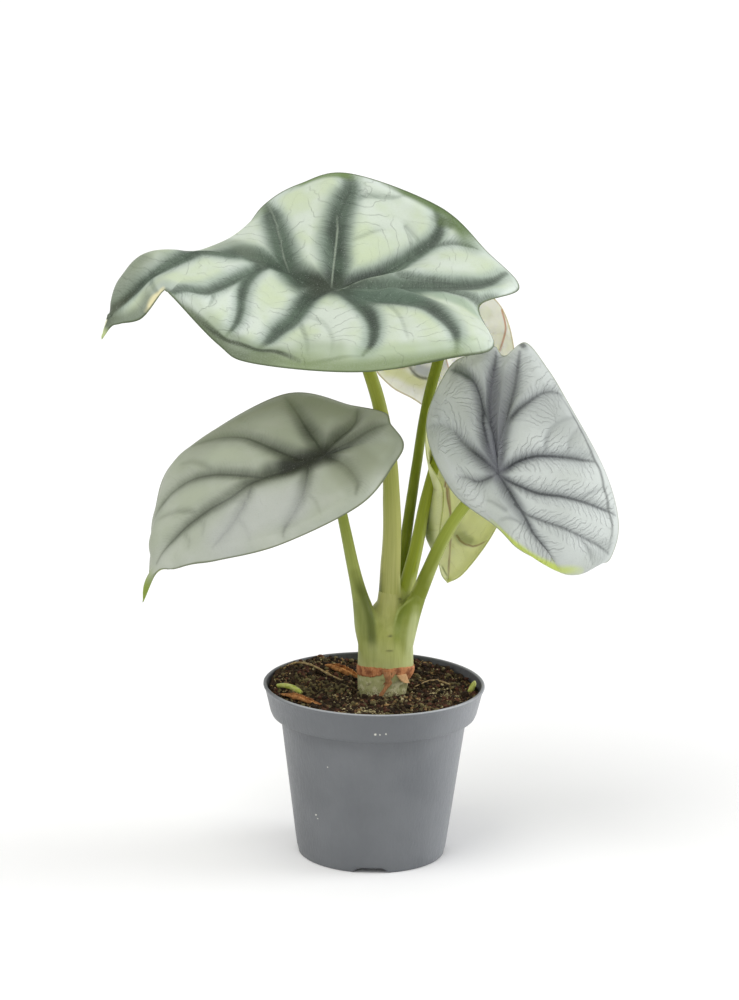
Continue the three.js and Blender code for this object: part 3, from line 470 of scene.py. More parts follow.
def smooth(points, at):
    """Points of the smooth curve through `points`, at point numbers `at` from 0 to len(points) - 1."""
    points = np.asarray(points, float)
    at = np.asarray(at, float)
    last = len(points) - 1
    padded = np.vstack([2 * points[0] - points[1], points, 2 * points[-1] - points[-2]])
    low = np.clip(np.floor(at).astype(int), 0, last - 1)
    part = (at - low)[..., None]
    a, b, c, d = (padded[low + i] for i in range(4))
    squared, cubed = 2 * a - 5 * b + 4 * c - d, 3 * b - 3 * c + d - a
    return 0.5 * (2 * b + (c - a) * part + squared * part**2 + cubed * part**3)


def even(points, shares):
    """Points of that curve at shares of its length, from 0 to 1."""
    points = np.asarray(points, float)
    at = np.linspace(0, len(points) - 1, CURVE_SAMPLES)
    line = smooth(points, at)[:, :3]
    run = np.r_[0, np.cumsum(np.linalg.norm(np.diff(line, axis=0), axis=1))]
    return smooth(points, np.interp(shares, run / run[-1], at))


def ease(values, low, high):
    """0 below low, 1 above high and a smooth step between them."""
    share = np.clip((np.asarray(values, float) - low) / (high - low), 0, 1)
    return share * share * (3 - 2 * share)


def crowd(shares, strength):
    """Moves even shares from 0 to 1 closer to both ends."""
    shares = np.asarray(shares, float)
    return shares - strength * np.sin(2 * np.pi * shares) / (2 * np.pi)


def unit(vectors):
    return vectors / np.maximum(np.linalg.norm(vectors, axis=-1, keepdims=True), 1e-12)


def corner_normals(points, faces):
    """Vertex normals of triangles and quads, weighted by their areas."""
    total = np.zeros_like(points)
    for size in (3, 4):
        same = np.array([f for f in faces if len(f) == size], int).reshape(-1, size)
        if len(same):
            corners = points[same]
            across = corners[:, 2] - corners[:, 0]
            if size == 4:
                area = np.cross(across, corners[:, 3] - corners[:, 1])
            else:
                area = np.cross(corners[:, 1] - corners[:, 0], across)
            for column in range(size):
                np.add.at(total, same[:, column], area)
    return unit(total)


def soft_normals(points, faces, rounds):
    """Vertex normals averaged with those of their neighbours, so that creases turn slowly."""
    up = corner_normals(points, faces)
    pairs = np.array([pair for face in faces for pair in zip(face, face[1:] + face[:1])])
    for _ in range(rounds):
        total = up.copy()
        np.add.at(total, pairs[:, 0], up[pairs[:, 1]])
        np.add.at(total, pairs[:, 1], up[pairs[:, 0]])
        up = unit(total)
    return up


# ----- meshes
def make_mesh(name, points, faces, finishes, numbers=None, facts=None):
    """A smooth-shaded mesh object at the origin. facts are values to keep at each point, by name."""
    mesh = bpy.data.meshes.new(name)
    mesh.from_pydata([tuple(p) for p in points], [], [tuple(int(i) for i in f) for f in faces])
    for finish in finishes:
        mesh.materials.append(finish)
    if numbers is not None:
        mesh.polygons.foreach_set("material_index", np.asarray(numbers, np.int32))
    mesh.polygons.foreach_set("use_smooth", [True] * len(mesh.polygons))
    for fact, values in (facts or {}).items():
        values = np.asarray(values, np.float32)
        kind, field = ("FLOAT_VECTOR", "vector") if values.ndim == 2 else ("FLOAT", "value")
        mesh.attributes.new(fact, kind, "POINT").data.foreach_set(field, values.ravel())
    mesh.validate()
    mesh.update()
    piece = bpy.data.objects.new(name, mesh)
    bpy.context.scene.collection.objects.link(piece)
    return piece


def place(piece, slot, *nodes):
    """Lets a finished piece stand for its CAD nodes."""
    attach(piece, "root")
    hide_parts(*nodes)
    return piece


def shifted(faces, first):
    """Faces whose points are numbered on from `first`."""
    return [tuple(first + i for i in face) for face in faces]


def sheet_faces(rows, columns):
    """Quads of two sheets of points, a front and a back one, with their borders joined."""
    size = rows * columns
    faces = []
    for row in range(rows - 1):
        for column in range(columns - 1):
            first = row * columns + column
            corners = (first, first + 1, first + columns + 1, first + columns)
            faces.append(corners)
            faces.append(tuple(size + i for i in reversed(corners)))
    border = [
        *range(columns), *[row * columns + columns - 1 for row in range(1, rows)],
        *range(size - 2, size - columns - 1, -1), *[row * columns for row in range(rows - 2, 0, -1)],
    ]
    for here, after in zip(border, border[1:] + border[:1]):
        faces.append((after, here, size + here, size + after))
    return faces


def ring_faces(rings, sides, closed_caps=True, first=0):
    """Quads between rings of points, and a cap of one face at each end."""
    faces = []
    for ring in range(rings - 1):
        for side in range(sides):
            here = first + ring * sides + side
            beside = first + ring * sides + (side + 1) % sides
            faces.append((here, beside, beside + sides, here + sides))
    if closed_caps:
        last = first + (rings - 1) * sides
        faces.append(tuple(first + side for side in reversed(range(sides))))
        faces.append(tuple(last + side for side in range(sides)))
    return faces


def tube(route, steps, sides, wobble=0.0, seed=0):
    """A rod along a route of (x, y, z, radius) in millimetres, as points in metres and faces, with each
    point's millimetres along it and its turn around it."""
    route = np.asarray(route, float)
    shares = np.r_[np.linspace(0, 0.96, steps, endpoint=False), np.linspace(0.96, 1, steps // 4)]
    line = even(route, shares)
    centres, radii = line[:, :3], line[:, 3]
    heading = unit(np.gradient(centres, axis=0))
    side = np.cross(heading[0], (0.3, 1, 0.2))
    points, along, around = [], [], []
    draw = random.Random(seed)
    phase = draw.random() * 10
    run = np.r_[0, np.cumsum(np.linalg.norm(np.diff(centres, axis=0), axis=1))]
    for step in range(len(shares)):
        side = side - heading[step] * np.dot(side, heading[step])
        side = side / np.linalg.norm(side)
        other = np.cross(heading[step], side)
        for turn in range(sides):
            angle = 2 * math.pi * turn / sides
            bulge = noise.noise(Vector((angle * 0.6, run[step] * 0.08, phase)))
            spread = radii[step] * (1 + wobble * bulge)
            points.append(centres[step] + (side * math.cos(angle) + other * math.sin(angle)) * spread)
            along.append(run[step])
            around.append(angle)
    return np.array(points) * MM, ring_faces(len(shares), sides), np.array(along), np.array(around)


# ----- finishes
class Finish:
    """A material made of nodes. A method that makes a node returns its output socket."""

    def __init__(self, name, **constants):
        self.material = bpy.data.materials.new(name)
        self.material.use_nodes = True
        self.nodes = self.material.node_tree.nodes
        self.links = self.material.node_tree.links
        self.shader = self.nodes["Principled BSDF"]
        for socket, value in constants.items():
            self.shader.inputs[socket.replace("_", " ")].default_value = value

    def feed(self, socket, value):
        if isinstance(value, bpy.types.NodeSocket):
            self.links.new(value, socket)
        elif value is not None:
            socket.default_value = value

    def node(self, kind, **settings):
        made = self.nodes.new(kind)
        for setting, value in settings.items():
            setattr(made, setting, value)
        return made

    def maths(self, operation, *values, clamp=False):
        made = self.node("ShaderNodeMath", operation=operation, use_clamp=clamp)
        for socket, value in zip(made.inputs, values):
            self.feed(socket, value)
        return made.outputs[0]

    def times(self, first, second):
        return self.maths("MULTIPLY", first, second)

    def step(self, value, low, high, to_low=0.0, to_high=1.0):
        made = self.node("ShaderNodeMapRange", interpolation_type="SMOOTHSTEP")
        for socket, given in zip(made.inputs[:5], (value, low, high, to_low, to_high)):
            self.feed(socket, given)
        return made.outputs[0]

    def mix(self, share, first, second, blend="MIX"):
        made = self.node("ShaderNodeMix", data_type="RGBA", blend_type=blend)
        self.feed(made.inputs[0], share)
        self.feed(made.inputs[6], first)
        self.feed(made.inputs[7], second)
        return made.outputs[2]

    def fact(self, name, vector=False):
        made = self.node("ShaderNodeAttribute", attribute_name=name)
        return made.outputs["Vector" if vector else "Fac"]

    def parts(self, vector):
        made = self.node("ShaderNodeSeparateXYZ")
        self.feed(made.inputs[0], vector)
        return made.outputs[0], made.outputs[1], made.outputs[2]

    def join(self, x, y, z=0.0):
        made = self.node("ShaderNodeCombineXYZ")
        for socket, value in zip(made.inputs, (x, y, z)):
            self.feed(socket, value)
        return made.outputs[0]

    def place(self):
        """The point's own place in the frame, in millimetres."""
        made = self.node("ShaderNodeVectorMath", operation="SCALE")
        self.links.new(self.node("ShaderNodeTexCoord").outputs["Object"], made.inputs[0])
        made.inputs["Scale"].default_value = 1 / MM
        return made.outputs[0]

    def stretch(self, vector, x, y, z):
        made = self.node("ShaderNodeVectorMath", operation="MULTIPLY")
        self.feed(made.inputs[0], vector)
        made.inputs[1].default_value = (x, y, z)
        return made.outputs[0]

    def noise(self, vector, scale, detail=2.0, roughness=0.5):
        made = self.node("ShaderNodeTexNoise")
        self.feed(made.inputs["Vector"], vector)
        made.inputs["Scale"].default_value = scale
        made.inputs["Detail"].default_value = detail
        made.inputs["Roughness"].default_value = roughness
        return made.outputs["Fac"]

    def bump(self, height, distance):
        made = self.node("ShaderNodeBump")
        self.feed(made.inputs["Height"], height)
        made.inputs["Distance"].default_value = distance
        return made.outputs[0]

    def done(self, colour=None, roughness=None, normal=None):
        self.feed(self.shader.inputs["Base Color"], colour)
        self.feed(self.shader.inputs["Roughness"], roughness)
        self.feed(self.shader.inputs["Normal"], normal)
        return self.material


# How each leaf is coloured. `brushed` names the sides that carry brushed marks. Shares from 0 to 1 say
# how strong the thin line in a vein, the halo round it, the hairs at its edge and the side veins are,
# and how much light comes through. The two pale leaves share the second half of their looks.
PALE_LEAF = {
    "rim_width": 0.8, "line": 0, "halo": 0.2, "hair": 0.2, "side_gap": 9, "side_swing": (3.0, 0.3),
    "side_vein": 0.03, "fine_vein": 0, "crinkle": 0.4, "through": 0.4, "tip_length": 5,
}
# The lime glow in the middle of each panel is painted light: light that shines through the leaf, painted
# into its colour.
LEAF_LOOKS = {
    "top": {
        "brushed": "above",
        "silver": (182, 195, 181), "bright": (202, 211, 203), "painted_glow": (196, 208, 168), "vein": (48, 60, 48),
        "vein_soft": (78, 95, 78), "near": (134, 150, 134), "rim": (120, 134, 104),
        "rim_edge": (70, 84, 54),
        "rim_width": 0.7, "line": 0.3, "halo": 0.7, "hair": 1.0, "side_gap": 9, "side_swing": (3.0, 0.3),
        "side_vein": 0.15,
        "fine_vein": 0.2, "crinkle": 0.7,
        "under": (232, 234, 206), "under_vein": (176, 184, 120), "through": 0, "tip": (176, 190, 132),
        "tip_length": 8,
    },
    "left": {
        "brushed": "above",
        "silver": (152, 159, 142), "bright": (170, 175, 162), "painted_glow": (160, 167, 146), "vein": (56, 62, 46),
        "vein_soft": (84, 92, 74), "near": (116, 124, 106), "rim": (128, 136, 108),
        "rim_edge": (84, 92, 62),
        "rim_width": 0.5, "line": 0.55, "halo": 0.5, "hair": 0.5, "side_gap": 11, "side_swing": (3.0, 0.3),
        "side_vein": 0.07,
        "fine_vein": 0.1, "crinkle": 0.35,
        "under": (166, 176, 126), "under_vein": (118, 130, 76), "through": 0, "tip": (124, 142, 54),
        "tip_length": 22,
    },
    "right": {
        "brushed": "above",
        "silver": (178, 184, 180), "bright": (195, 201, 197), "painted_glow": (188, 194, 186), "vein": (54, 58, 60),
        "vein_soft": (88, 92, 96), "near": (146, 151, 152), "rim": (186, 192, 187),
        "rim_edge": (140, 148, 124),
        "rim_width": 1.6, "line": 0.75, "halo": 0.45, "hair": 0.35, "side_gap": 3.6,
        "side_swing": (5.0, 1.0), "side_vein": 0.12,
        "fine_vein": 0.12, "crinkle": 1.2,
        "under": (190, 202, 100), "under_vein": (146, 158, 74), "through": 0, "tip": (170, 182, 130),
        "tip_length": 3,
    },
    "hanging": {
        "brushed": "both",
        "silver": (206, 210, 158), "bright": (218, 221, 182), "painted_glow": (208, 212, 150),
        "vein": (120, 84, 44),
        "vein_soft": (130, 112, 62), "near": (198, 202, 150), "rim": (196, 202, 140),
        "rim_edge": (150, 158, 90),
        "under": (236, 238, 198), "under_vein": (140, 82, 52), "tip": (196, 202, 140), **PALE_LEAF,
    },
    "back": {
        "brushed": "below",
        "silver": (174, 180, 176), "bright": (190, 196, 192), "painted_glow": (182, 190, 176), "vein": (66, 72, 68),
        "vein_soft": (92, 98, 92), "near": (146, 152, 148), "rim": (196, 200, 180),
        "rim_edge": (170, 150, 120),
        "under": (255, 253, 252), "under_vein": (184, 112, 92), "tip": (206, 210, 150), **PALE_LEAF,
    },
}


def line_pattern(finish, turns, half_width):
    """1 on a line at each whole turn and 0 between the lines."""
    phase = finish.maths("ABSOLUTE", finish.maths("SUBTRACT", finish.maths("FRACT", turns), 0.5))
    return finish.step(phase, half_width * 0.2, half_width, 1, 0)


def side_veins(finish, look, sways):
    """Thin lines that lean out from the main veins and bend with the `sways`."""
    reach, across, number = finish.parts(finish.fact("vein_place", vector=True))
    gap = look["side_gap"]
    turns = finish.times(finish.maths("MULTIPLY_ADD", across, -0.7, reach), 1 / gap)
    turns = finish.maths("MULTIPLY_ADD", number, 0.37, turns)
    for sway, swing in zip(sways, look["side_swing"]):
        turns = finish.maths("MULTIPLY_ADD", sway, swing, turns)
    lines = finish.times(line_pattern(finish, turns, 0.4 / gap), finish.fact("seam"))
    return finish.times(lines, finish.step(sways[0], 0.35, 0.6, 0.35, 1))


def leaf_upper(name, look):
    """Silver panels between soft dark bands, with thin side veins across them and fine hairs of colour
    along the bands."""
    finish = Finish(f"{name}_leaf_upper_side", Specular_IOR_Level=0.3, Sheen_Weight=0.04,
                    Sheen_Roughness=0.4,
                    Subsurface_Weight=look["through"], Subsurface_Scale=2 * MM,
                    Subsurface_Radius=(1, 1, 0.6))
    reach, across, number = finish.parts(finish.fact("vein_place", vector=True))
    shade = finish.fact("vein_shade")
    rim_gap = finish.fact("rim_gap")
    seam = finish.fact("seam")
    place_mm = finish.place()
    hair_place = finish.join(finish.times(reach, 1.9), finish.times(across, 0.09), number)
    hairs = finish.step(finish.noise(hair_place, 1, detail=2, roughness=0.6), 0.3, 0.7)
    blotch = finish.noise(place_mm, 0.045, detail=3)
    waver = finish.noise(place_mm, 0.3, detail=1)
    grain = finish.noise(place_mm, 1.5, detail=4, roughness=0.65)

    # Side veins leave the main veins at a slant and bend slowly; short fine ones fringe the dark bands.
    side_vein = side_veins(finish, look, (blotch, waver))
    slanted = finish.maths("MULTIPLY_ADD", across, -0.7, reach)
    fine_turns = finish.maths("MULTIPLY_ADD", slanted, 1 / 1.9, finish.times(waver, 1.1))
    fine_length = finish.noise(finish.join(finish.times(reach, 0.7), 0, number), 1, detail=1)
    fine_reach = finish.step(finish.maths("MULTIPLY_ADD", fine_length, -16, across), -6, 1, 1, 0)
    fine_vein = finish.times(line_pattern(finish, fine_turns, 0.2), fine_reach)
    fine_vein = finish.times(fine_vein, seam)

    silver = finish.mix(finish.step(blotch, 0.3, 0.68), rgb(*look["silver"]), rgb(*look["bright"]))
    # Painted light: the panels' middles take the lime glow of light shining through the leaf.
    painted_glow = finish.times(finish.fact("panel"), finish.step(blotch, 0.3, 0.65, 0.7, 0.2))
    colour = finish.mix(painted_glow, silver, rgb(*look["painted_glow"]))
    halo = finish.step(finish.fact("vein_halo"), 0, 1, 0, look["halo"])
    colour = finish.mix(halo, colour, rgb(*look["near"]))

    light = finish.maths("SUBTRACT", 1, shade)
    room = finish.times(finish.times(shade, light), look["hair"])
    dark = finish.maths("MULTIPLY_ADD", finish.maths("SUBTRACT", hairs, 0.5), room, shade, clamp=True)
    tone = finish.mix(finish.step(blotch, 0.35, 0.65), rgb(*look["vein"]), rgb(*look["vein_soft"]))
    colour = finish.mix(dark, colour, tone)
    core = finish.times(finish.step(finish.fact("vein_gap"), 0.3, 1.1, look["line"], 0), shade)
    colour = finish.mix(core, colour, rgb(*[value * 0.7 for value in look["vein"]]))
    lines = finish.maths("MAXIMUM", finish.times(side_vein, look["side_vein"]),
                         finish.times(fine_vein, look["fine_vein"]))
    colour = finish.mix(lines, colour, rgb(*look["vein"]))

    ragged = finish.maths("MULTIPLY_ADD", waver, 1.2, rim_gap)
    width = look["rim_width"]
    colour = finish.mix(finish.step(ragged, width, width + 1.6, 0.7, 0), colour, rgb(*look["rim"]))
    if look["brushed"] != "below":
        cover = finish.times(finish.fact("cover"), finish.step(grain, 0.25, 0.6, 0.8, 1))
        colour = finish.mix(cover, colour, finish.fact("paint", vector=True))
    colour = finish.mix(finish.step(rim_gap, 0.2, 0.9, 0.8, 0), colour, rgb(*look["rim_edge"]))
    colour = finish.mix(finish.fact("tip"), colour, rgb(*look["tip"]))
    speckle = finish.times(finish.step(grain, 0.58, 0.7), finish.step(shade, 0.2, 0.9, 0.06, 0.3))
    colour = finish.mix(speckle, colour, rgb(*look["bright"]))
    colour = finish.mix(finish.step(grain, 0.5, 0.25, 0, 0.12), colour, rgb(84, 94, 78))

    relief = finish.times(side_vein, -1.8 * look["side_vein"])
    relief = finish.maths("MULTIPLY_ADD", fine_vein, -0.1, relief)
    relief = finish.maths("MULTIPLY_ADD", grain, 0.07, relief)
    normal = finish.bump(relief, 1.2 * MM * look["crinkle"])
    return finish.done(colour, finish.step(grain, 0.2, 0.8, 0.42, 0.58), normal)


def leaf_under(name, look):
    """Pale underside with raised, slightly darker veins."""
    finish = Finish(f"{name}_leaf_underside", Specular_IOR_Level=0.3, Subsurface_Weight=look["through"],
                    Subsurface_Scale=2 * MM, Subsurface_Radius=(1, 1, 0.6))
    vein_gap = finish.fact("vein_gap")
    place_mm = finish.place()
    blotch = finish.noise(place_mm, 0.06, detail=3)
    grain = finish.noise(place_mm, 1.3, detail=4, roughness=0.65)
    side_vein = side_veins(finish, look, (blotch, grain))
    under = rgb(*look["under"])
    deeper = rgb(*[value * 0.94 for value in look["under"]])
    colour = finish.mix(finish.step(blotch, 0.35, 0.65), under, deeper)
    colour = finish.mix(finish.times(side_vein, 0.05), colour, rgb(*look["under_vein"]))
    line = finish.times(finish.step(vein_gap, 0.3, 0.8, 1, 0), finish.fact("vein_shade"))
    colour = finish.mix(finish.times(line, 0.75), colour, rgb(*look["under_vein"]))
    if look["brushed"] != "above":
        colour = finish.mix(finish.fact("cover"), colour, finish.fact("paint", vector=True))
    colour = finish.mix(finish.step(finish.fact("rim_gap"), 0.2, 0.8, 0.7, 0), colour,
                        rgb(*look["rim_edge"]))
    colour = finish.mix(finish.fact("tip"), colour, rgb(*look["tip"]))
    relief = finish.maths("MULTIPLY_ADD", grain, 0.06, finish.times(side_vein, 0.2))
    return finish.done(colour, finish.step(grain, 0.2, 0.8, 0.42, 0.6), finish.bump(relief, 0.9 * MM))


def stalk_finish(name, settings):
    """Satin stalk, paler at its foot, finely streaked along its length."""
    finish = Finish(f"{name}_stalk_skin", Specular_IOR_Level=0.18)
    along = finish.fact("along")
    around = finish.fact("around")
    place_mm = finish.place()
    lines = finish.noise(finish.join(finish.times(finish.maths("SINE", around), 3.2),
                                     finish.times(finish.maths("COSINE", around), 3.2),
                                     finish.times(along, 0.012)), 2, detail=4, roughness=0.6)
    blotch = finish.noise(place_mm, 0.06, detail=3)
    height = finish.fact("height_share")
    low, high, _, _ = STALK_GREENS[name]
    colour = finish.mix(height, rgb(*low), rgb(*high))
    colour = finish.mix(finish.step(lines, 0.35, 0.7, 0, 0.25), colour, tuple(settings.streak))
    colour = finish.mix(finish.step(blotch, 0.4, 0.75, 0, 0.15), colour, rgb(160, 168, 72))
    colour = finish.mix(finish.fact("cover"), colour, finish.fact("paint", vector=True))
    relief = finish.times(lines, 0.5)
    return finish.done(colour, finish.step(lines, 0.3, 0.8, 0.34, 0.48), finish.bump(relief, 0.35 * MM))


# ----- marks seen in the photograph
def viewer_axes():
    """The viewer's place in millimetres, and its right, up and ahead directions."""
    at, target = Vector(VIEWER_AT), Vector(VIEWER_TARGET)
    ahead = (target - at).normalized()
    right = ahead.cross(Vector((0, 0, 1))).normalized()
    up = right.cross(ahead)
    rolled_right = right * math.cos(VIEWER_ROLL) + up * math.sin(VIEWER_ROLL)
    rolled_up = up * math.cos(VIEWER_ROLL) - right * math.sin(VIEWER_ROLL)
    return at, rolled_right, rolled_up, ahead


def seen_at(points):
    """Where points given in millimetres show in the photograph, in pixels, and how far off they are."""
    at, right, up, ahead = (np.array(vector) for vector in viewer_axes())
    away = points - at
    depth = away @ ahead
    scale = LENS_MM / SENSOR_MM * PHOTO_HEIGHT / depth
    x = PHOTO_WIDTH / 2 + (away @ right) * scale
    y = PHOTO_HEIGHT / 2 - (away @ up) * scale
    return np.stack([x, y], -1), depth


def seen_route(points, pixels):
    """The route over a surface's points that shows at those pixels of the photograph."""
    spots, depth = seen_at(points)
    route = []
    for pixel in smooth(pixels, np.linspace(0, len(pixels) - 1, 10 * len(pixels))):
        gap = np.linalg.norm(spots - pixel, axis=1)
        near = np.flatnonzero(gap < gap.min() + 1.2)
        front = near[depth[near] < depth[near].min() + 6]
        weight = 1 / (gap[front] + 0.2) ** 2
        route.append((points[front] * weight[:, None]).sum(0) / weight.sum())
    route = np.array(route)
    for _ in range(3):
        route[1:-1] = (route[:-2] + 2 * route[1:-1] + route[2:]) / 4
    return route[np.r_[True, np.linalg.norm(np.diff(route, axis=0), axis=1) > 0.05]]


def gap_to_route(points, route):
    """Each point's distance to a route, and how far along it lies, in millimetres and as a share."""
    starts, spans = route[:-1], np.diff(route, axis=0)
    lengths = np.linalg.norm(spans, axis=1)
    away = points[:, None] - starts
    share = np.clip((away * spans).sum(-1) / lengths**2, 0, 1)
    gaps = np.linalg.norm(away - share[..., None] * spans, axis=-1)
    best = gaps.argmin(1)
    every = np.arange(len(points))
    run = np.r_[0, np.cumsum(lengths)]
    along = run[best] + share[every, best] * lengths[best]
    return gaps[every, best], along, along / run[-1]


def drawn_gap(points, route, gap):
    """The gap to a route as it shows in the photograph, in millimetres, held back by the real gap."""
    spots, depth = seen_at(points)
    seen_gap = gap_to_route(spots, seen_at(route)[0])[0] * depth / (LENS_MM / SENSOR_MM * PHOTO_HEIGHT)
    return np.hypot(0.85 * seen_gap, 0.35 * gap)


def painted(points, marks, paint=None, cover=None):
    """Colour and cover of brushed marks at each point, over a first coat if one is given."""
    paint = np.zeros((len(points), 3)) if paint is None else paint * cover[:, None]
    cover = np.zeros(len(points)) if cover is None else cover.copy()
    spots, _ = seen_at(points)
    for colour, strength, start, end, pixels in marks:
        margin = 5 + 4 * max(start, end)
        low, high = np.min(pixels, axis=0) - margin, np.max(pixels, axis=0) + margin
        near = np.flatnonzero(((spots > low) & (spots < high)).all(axis=1))
        route = seen_route(points[near], pixels) if len(near) else near
        if len(route) < 2:
            continue
        gap, _, share = gap_to_route(points[near], route)
        width = start + (end - start) * share
        brush = strength * ease(drawn_gap(points[near], route, gap), 1.5 * width, 0.3 * width)
        brush *= 0.35 + 0.65 * ease(np.minimum(share, 1 - share), 0, 0.2)
        paint[near] = paint[near] * (1 - brush)[:, None] + np.outer(brush, rgb(*colour)[:3])
        cover[near] = cover[near] * (1 - brush) + brush
    return {"paint": paint / np.maximum(cover, 1e-6)[:, None], "cover": cover}


# ----- blades
class Blade:
    """The middle surface of a leaf blade: a grid of rows around it and columns from midrib to edge."""

    def __init__(self, leaf, spacing):
        tip = leaf["midrib"][-1]
        ribs = leaf["ribs"]
        left = [rib[:3] for rib in ribs]
        right = [(rib[0], rib[3], rib[4]) for rib in reversed(ribs)]
        end = [(1, tip, tip)]
        order = [*end, *left, (0, *leaf["cleft"]), *right, *end]
        self.along = np.array([rib[0] for rib in order], float)
        self.bends = np.array([rib[1] for rib in order], float)
        self.edges = np.array([rib[2] for rib in order], float)
        self.midrib = np.array(leaf["midrib"], float)
        self.count = len(order) - 1
        self.rows = self.even_rows(spacing)
        reach = np.linalg.norm(self.edges - even(self.midrib, self.along), axis=1).max()
        self.columns = crowd(np.linspace(0, 1, int(reach / spacing) + 8), 0.35)

    def even_rows(self, spacing):
        """Row numbers that are about evenly spaced at the edge, and alike on both sides of the midrib."""
        half = self.count // 2
        edge = smooth(self.edges, np.linspace(0, self.count, self.count * 12 + 1))
        steps = np.linalg.norm(np.diff(edge, axis=0), axis=1).reshape(self.count, 12).sum(1)
        left = []
        for part in range(half):
            longer = max(steps[part], steps[self.count - 1 - part])
            left += list(part + np.arange(0, 1, 1 / max(3, round(longer / spacing))))
        left = np.array(left)
        return np.r_[left, half, (self.count - left)[::-1]]

    def points(self, rows, columns):
        """Points in millimetres, one for each row and column."""
        rows = np.asarray(rows, float)
        t = np.asarray(columns, float)[None, :, None]
        along = np.interp(rows, np.arange(self.count + 1), self.along)
        start = even(self.midrib, along)[:, None]
        bend = smooth(self.bends, rows)[:, None]
        edge = smooth(self.edges, rows)[:, None]
        return (1 - t) * (1 - 2 * t) * start + 4 * t * (1 - t) * bend + t * (2 * t - 1) * edge


def blade_veins(blade, leaf, middle):
    """Every vein as (strength, half width at the start, half width at the end, route in millimetres)."""
    reach = np.linspace(0, 1, 40)
    veins = [(*sizes, seen_route(middle, pixels)) for *sizes, pixels in leaf["veins"]]
    ribs = leaf.get("rib_veins", ())
    if ribs:
        veins.append((0.7, 1.8, 0.8, even(blade.midrib, reach)))
    for rib in ribs:
        for row in (rib, blade.count - rib):
            veins.append((0.35, 1.2, 0.7, blade.points([row], reach * 0.97)[0]))
    return veins


def blade_facts(blade, leaf, grid, kept, tip_length):
    """What the shape and the finishes need to know at each point."""
    steps = np.linalg.norm(np.diff(grid, axis=1), axis=-1)
    run = np.concatenate([np.zeros((len(grid), 1)), np.cumsum(steps, axis=1)], axis=1)
    rim_gap = (run[:, -1:] - run).ravel()[kept]
    middle = grid.reshape(-1, 3)[kept]
    size = len(middle)
    shade, halo, valley = np.zeros(size), np.zeros(size), np.zeros(size)
    main_gap, nearest, second = np.full(size, 1e3), np.full(size, 1e3), np.full(size, 1e3)
    place = np.zeros((size, 3))
    inside = np.zeros(size)
    for number, (strength, start, end, route) in enumerate(blade_veins(blade, leaf, middle)):
        gap, along, share = gap_to_route(middle, route)
        width = (start + (end - start) * share) * (1 - 0.45 * ease(share, 0.75, 1))
        force = strength * (1 - leaf["fade"] * ease(share, 0.15, 1) - 0.3 * ease(share, 0.85, 1))
        drawn = drawn_gap(middle, route, gap)
        core, spread = leaf["band"]
        shade = np.maximum(shade, force * ease(drawn, spread * width, core * width))
        halo = np.maximum(halo, force * ease(drawn, spread * width + 4.5, 0.6 * width))
        valley = np.maximum(valley, force * np.exp(-((gap / (1.5 + 0.8 * start)) ** 2)))
        if strength < 0.5:
            continue
        main_gap = np.minimum(main_gap, gap)
        closer = gap < nearest
        second = np.where(closer, nearest, np.minimum(second, gap))
        nearest = np.where(closer, gap, nearest)
        inside = np.where(closer, ease(share, 0.995, 0.97), inside)
        place[closer] = np.stack([along, gap, np.full(size, 7.3 * number)], -1)[closer]
    tip_gap = np.linalg.norm(middle - blade.midrib[-1], axis=-1)
    return middle, valley, {
        "vein_place": place,
        "vein_shade": shade,
        "vein_halo": halo,
        "vein_gap": main_gap,
        "seam": inside * ease(second - nearest, 0.3, 3.5),
        "rim_gap": rim_gap,
        "panel": ease(nearest, 3, 11) * ease(rim_gap, 1, 8),
        "tip": ease(tip_gap, tip_length, tip_length / 3),
        **painted(middle, leaf["paint"]),
    }


def merge_grid(grid):
    """Numbers for the grid's points, with one number for the points that lie together."""
    steps_in_a_millimetre = 500
    keys = np.round(grid.reshape(-1, 3) * steps_in_a_millimetre).astype(np.int64)
    _, first, inverse = np.unique(keys, axis=0, return_index=True, return_inverse=True)
    order = np.argsort(np.argsort(first))
    return np.sort(first), order[inverse.reshape(-1)].reshape(grid.shape[:2])


def grid_faces(numbers):
    faces = []
    for low, high in zip(numbers[:-1], numbers[1:]):
        for corners in zip(low[:-1], low[1:], high[1:], high[:-1]):
            face = tuple(dict.fromkeys(corners))
            if len(face) > 2:
                faces.append(face)
    return faces


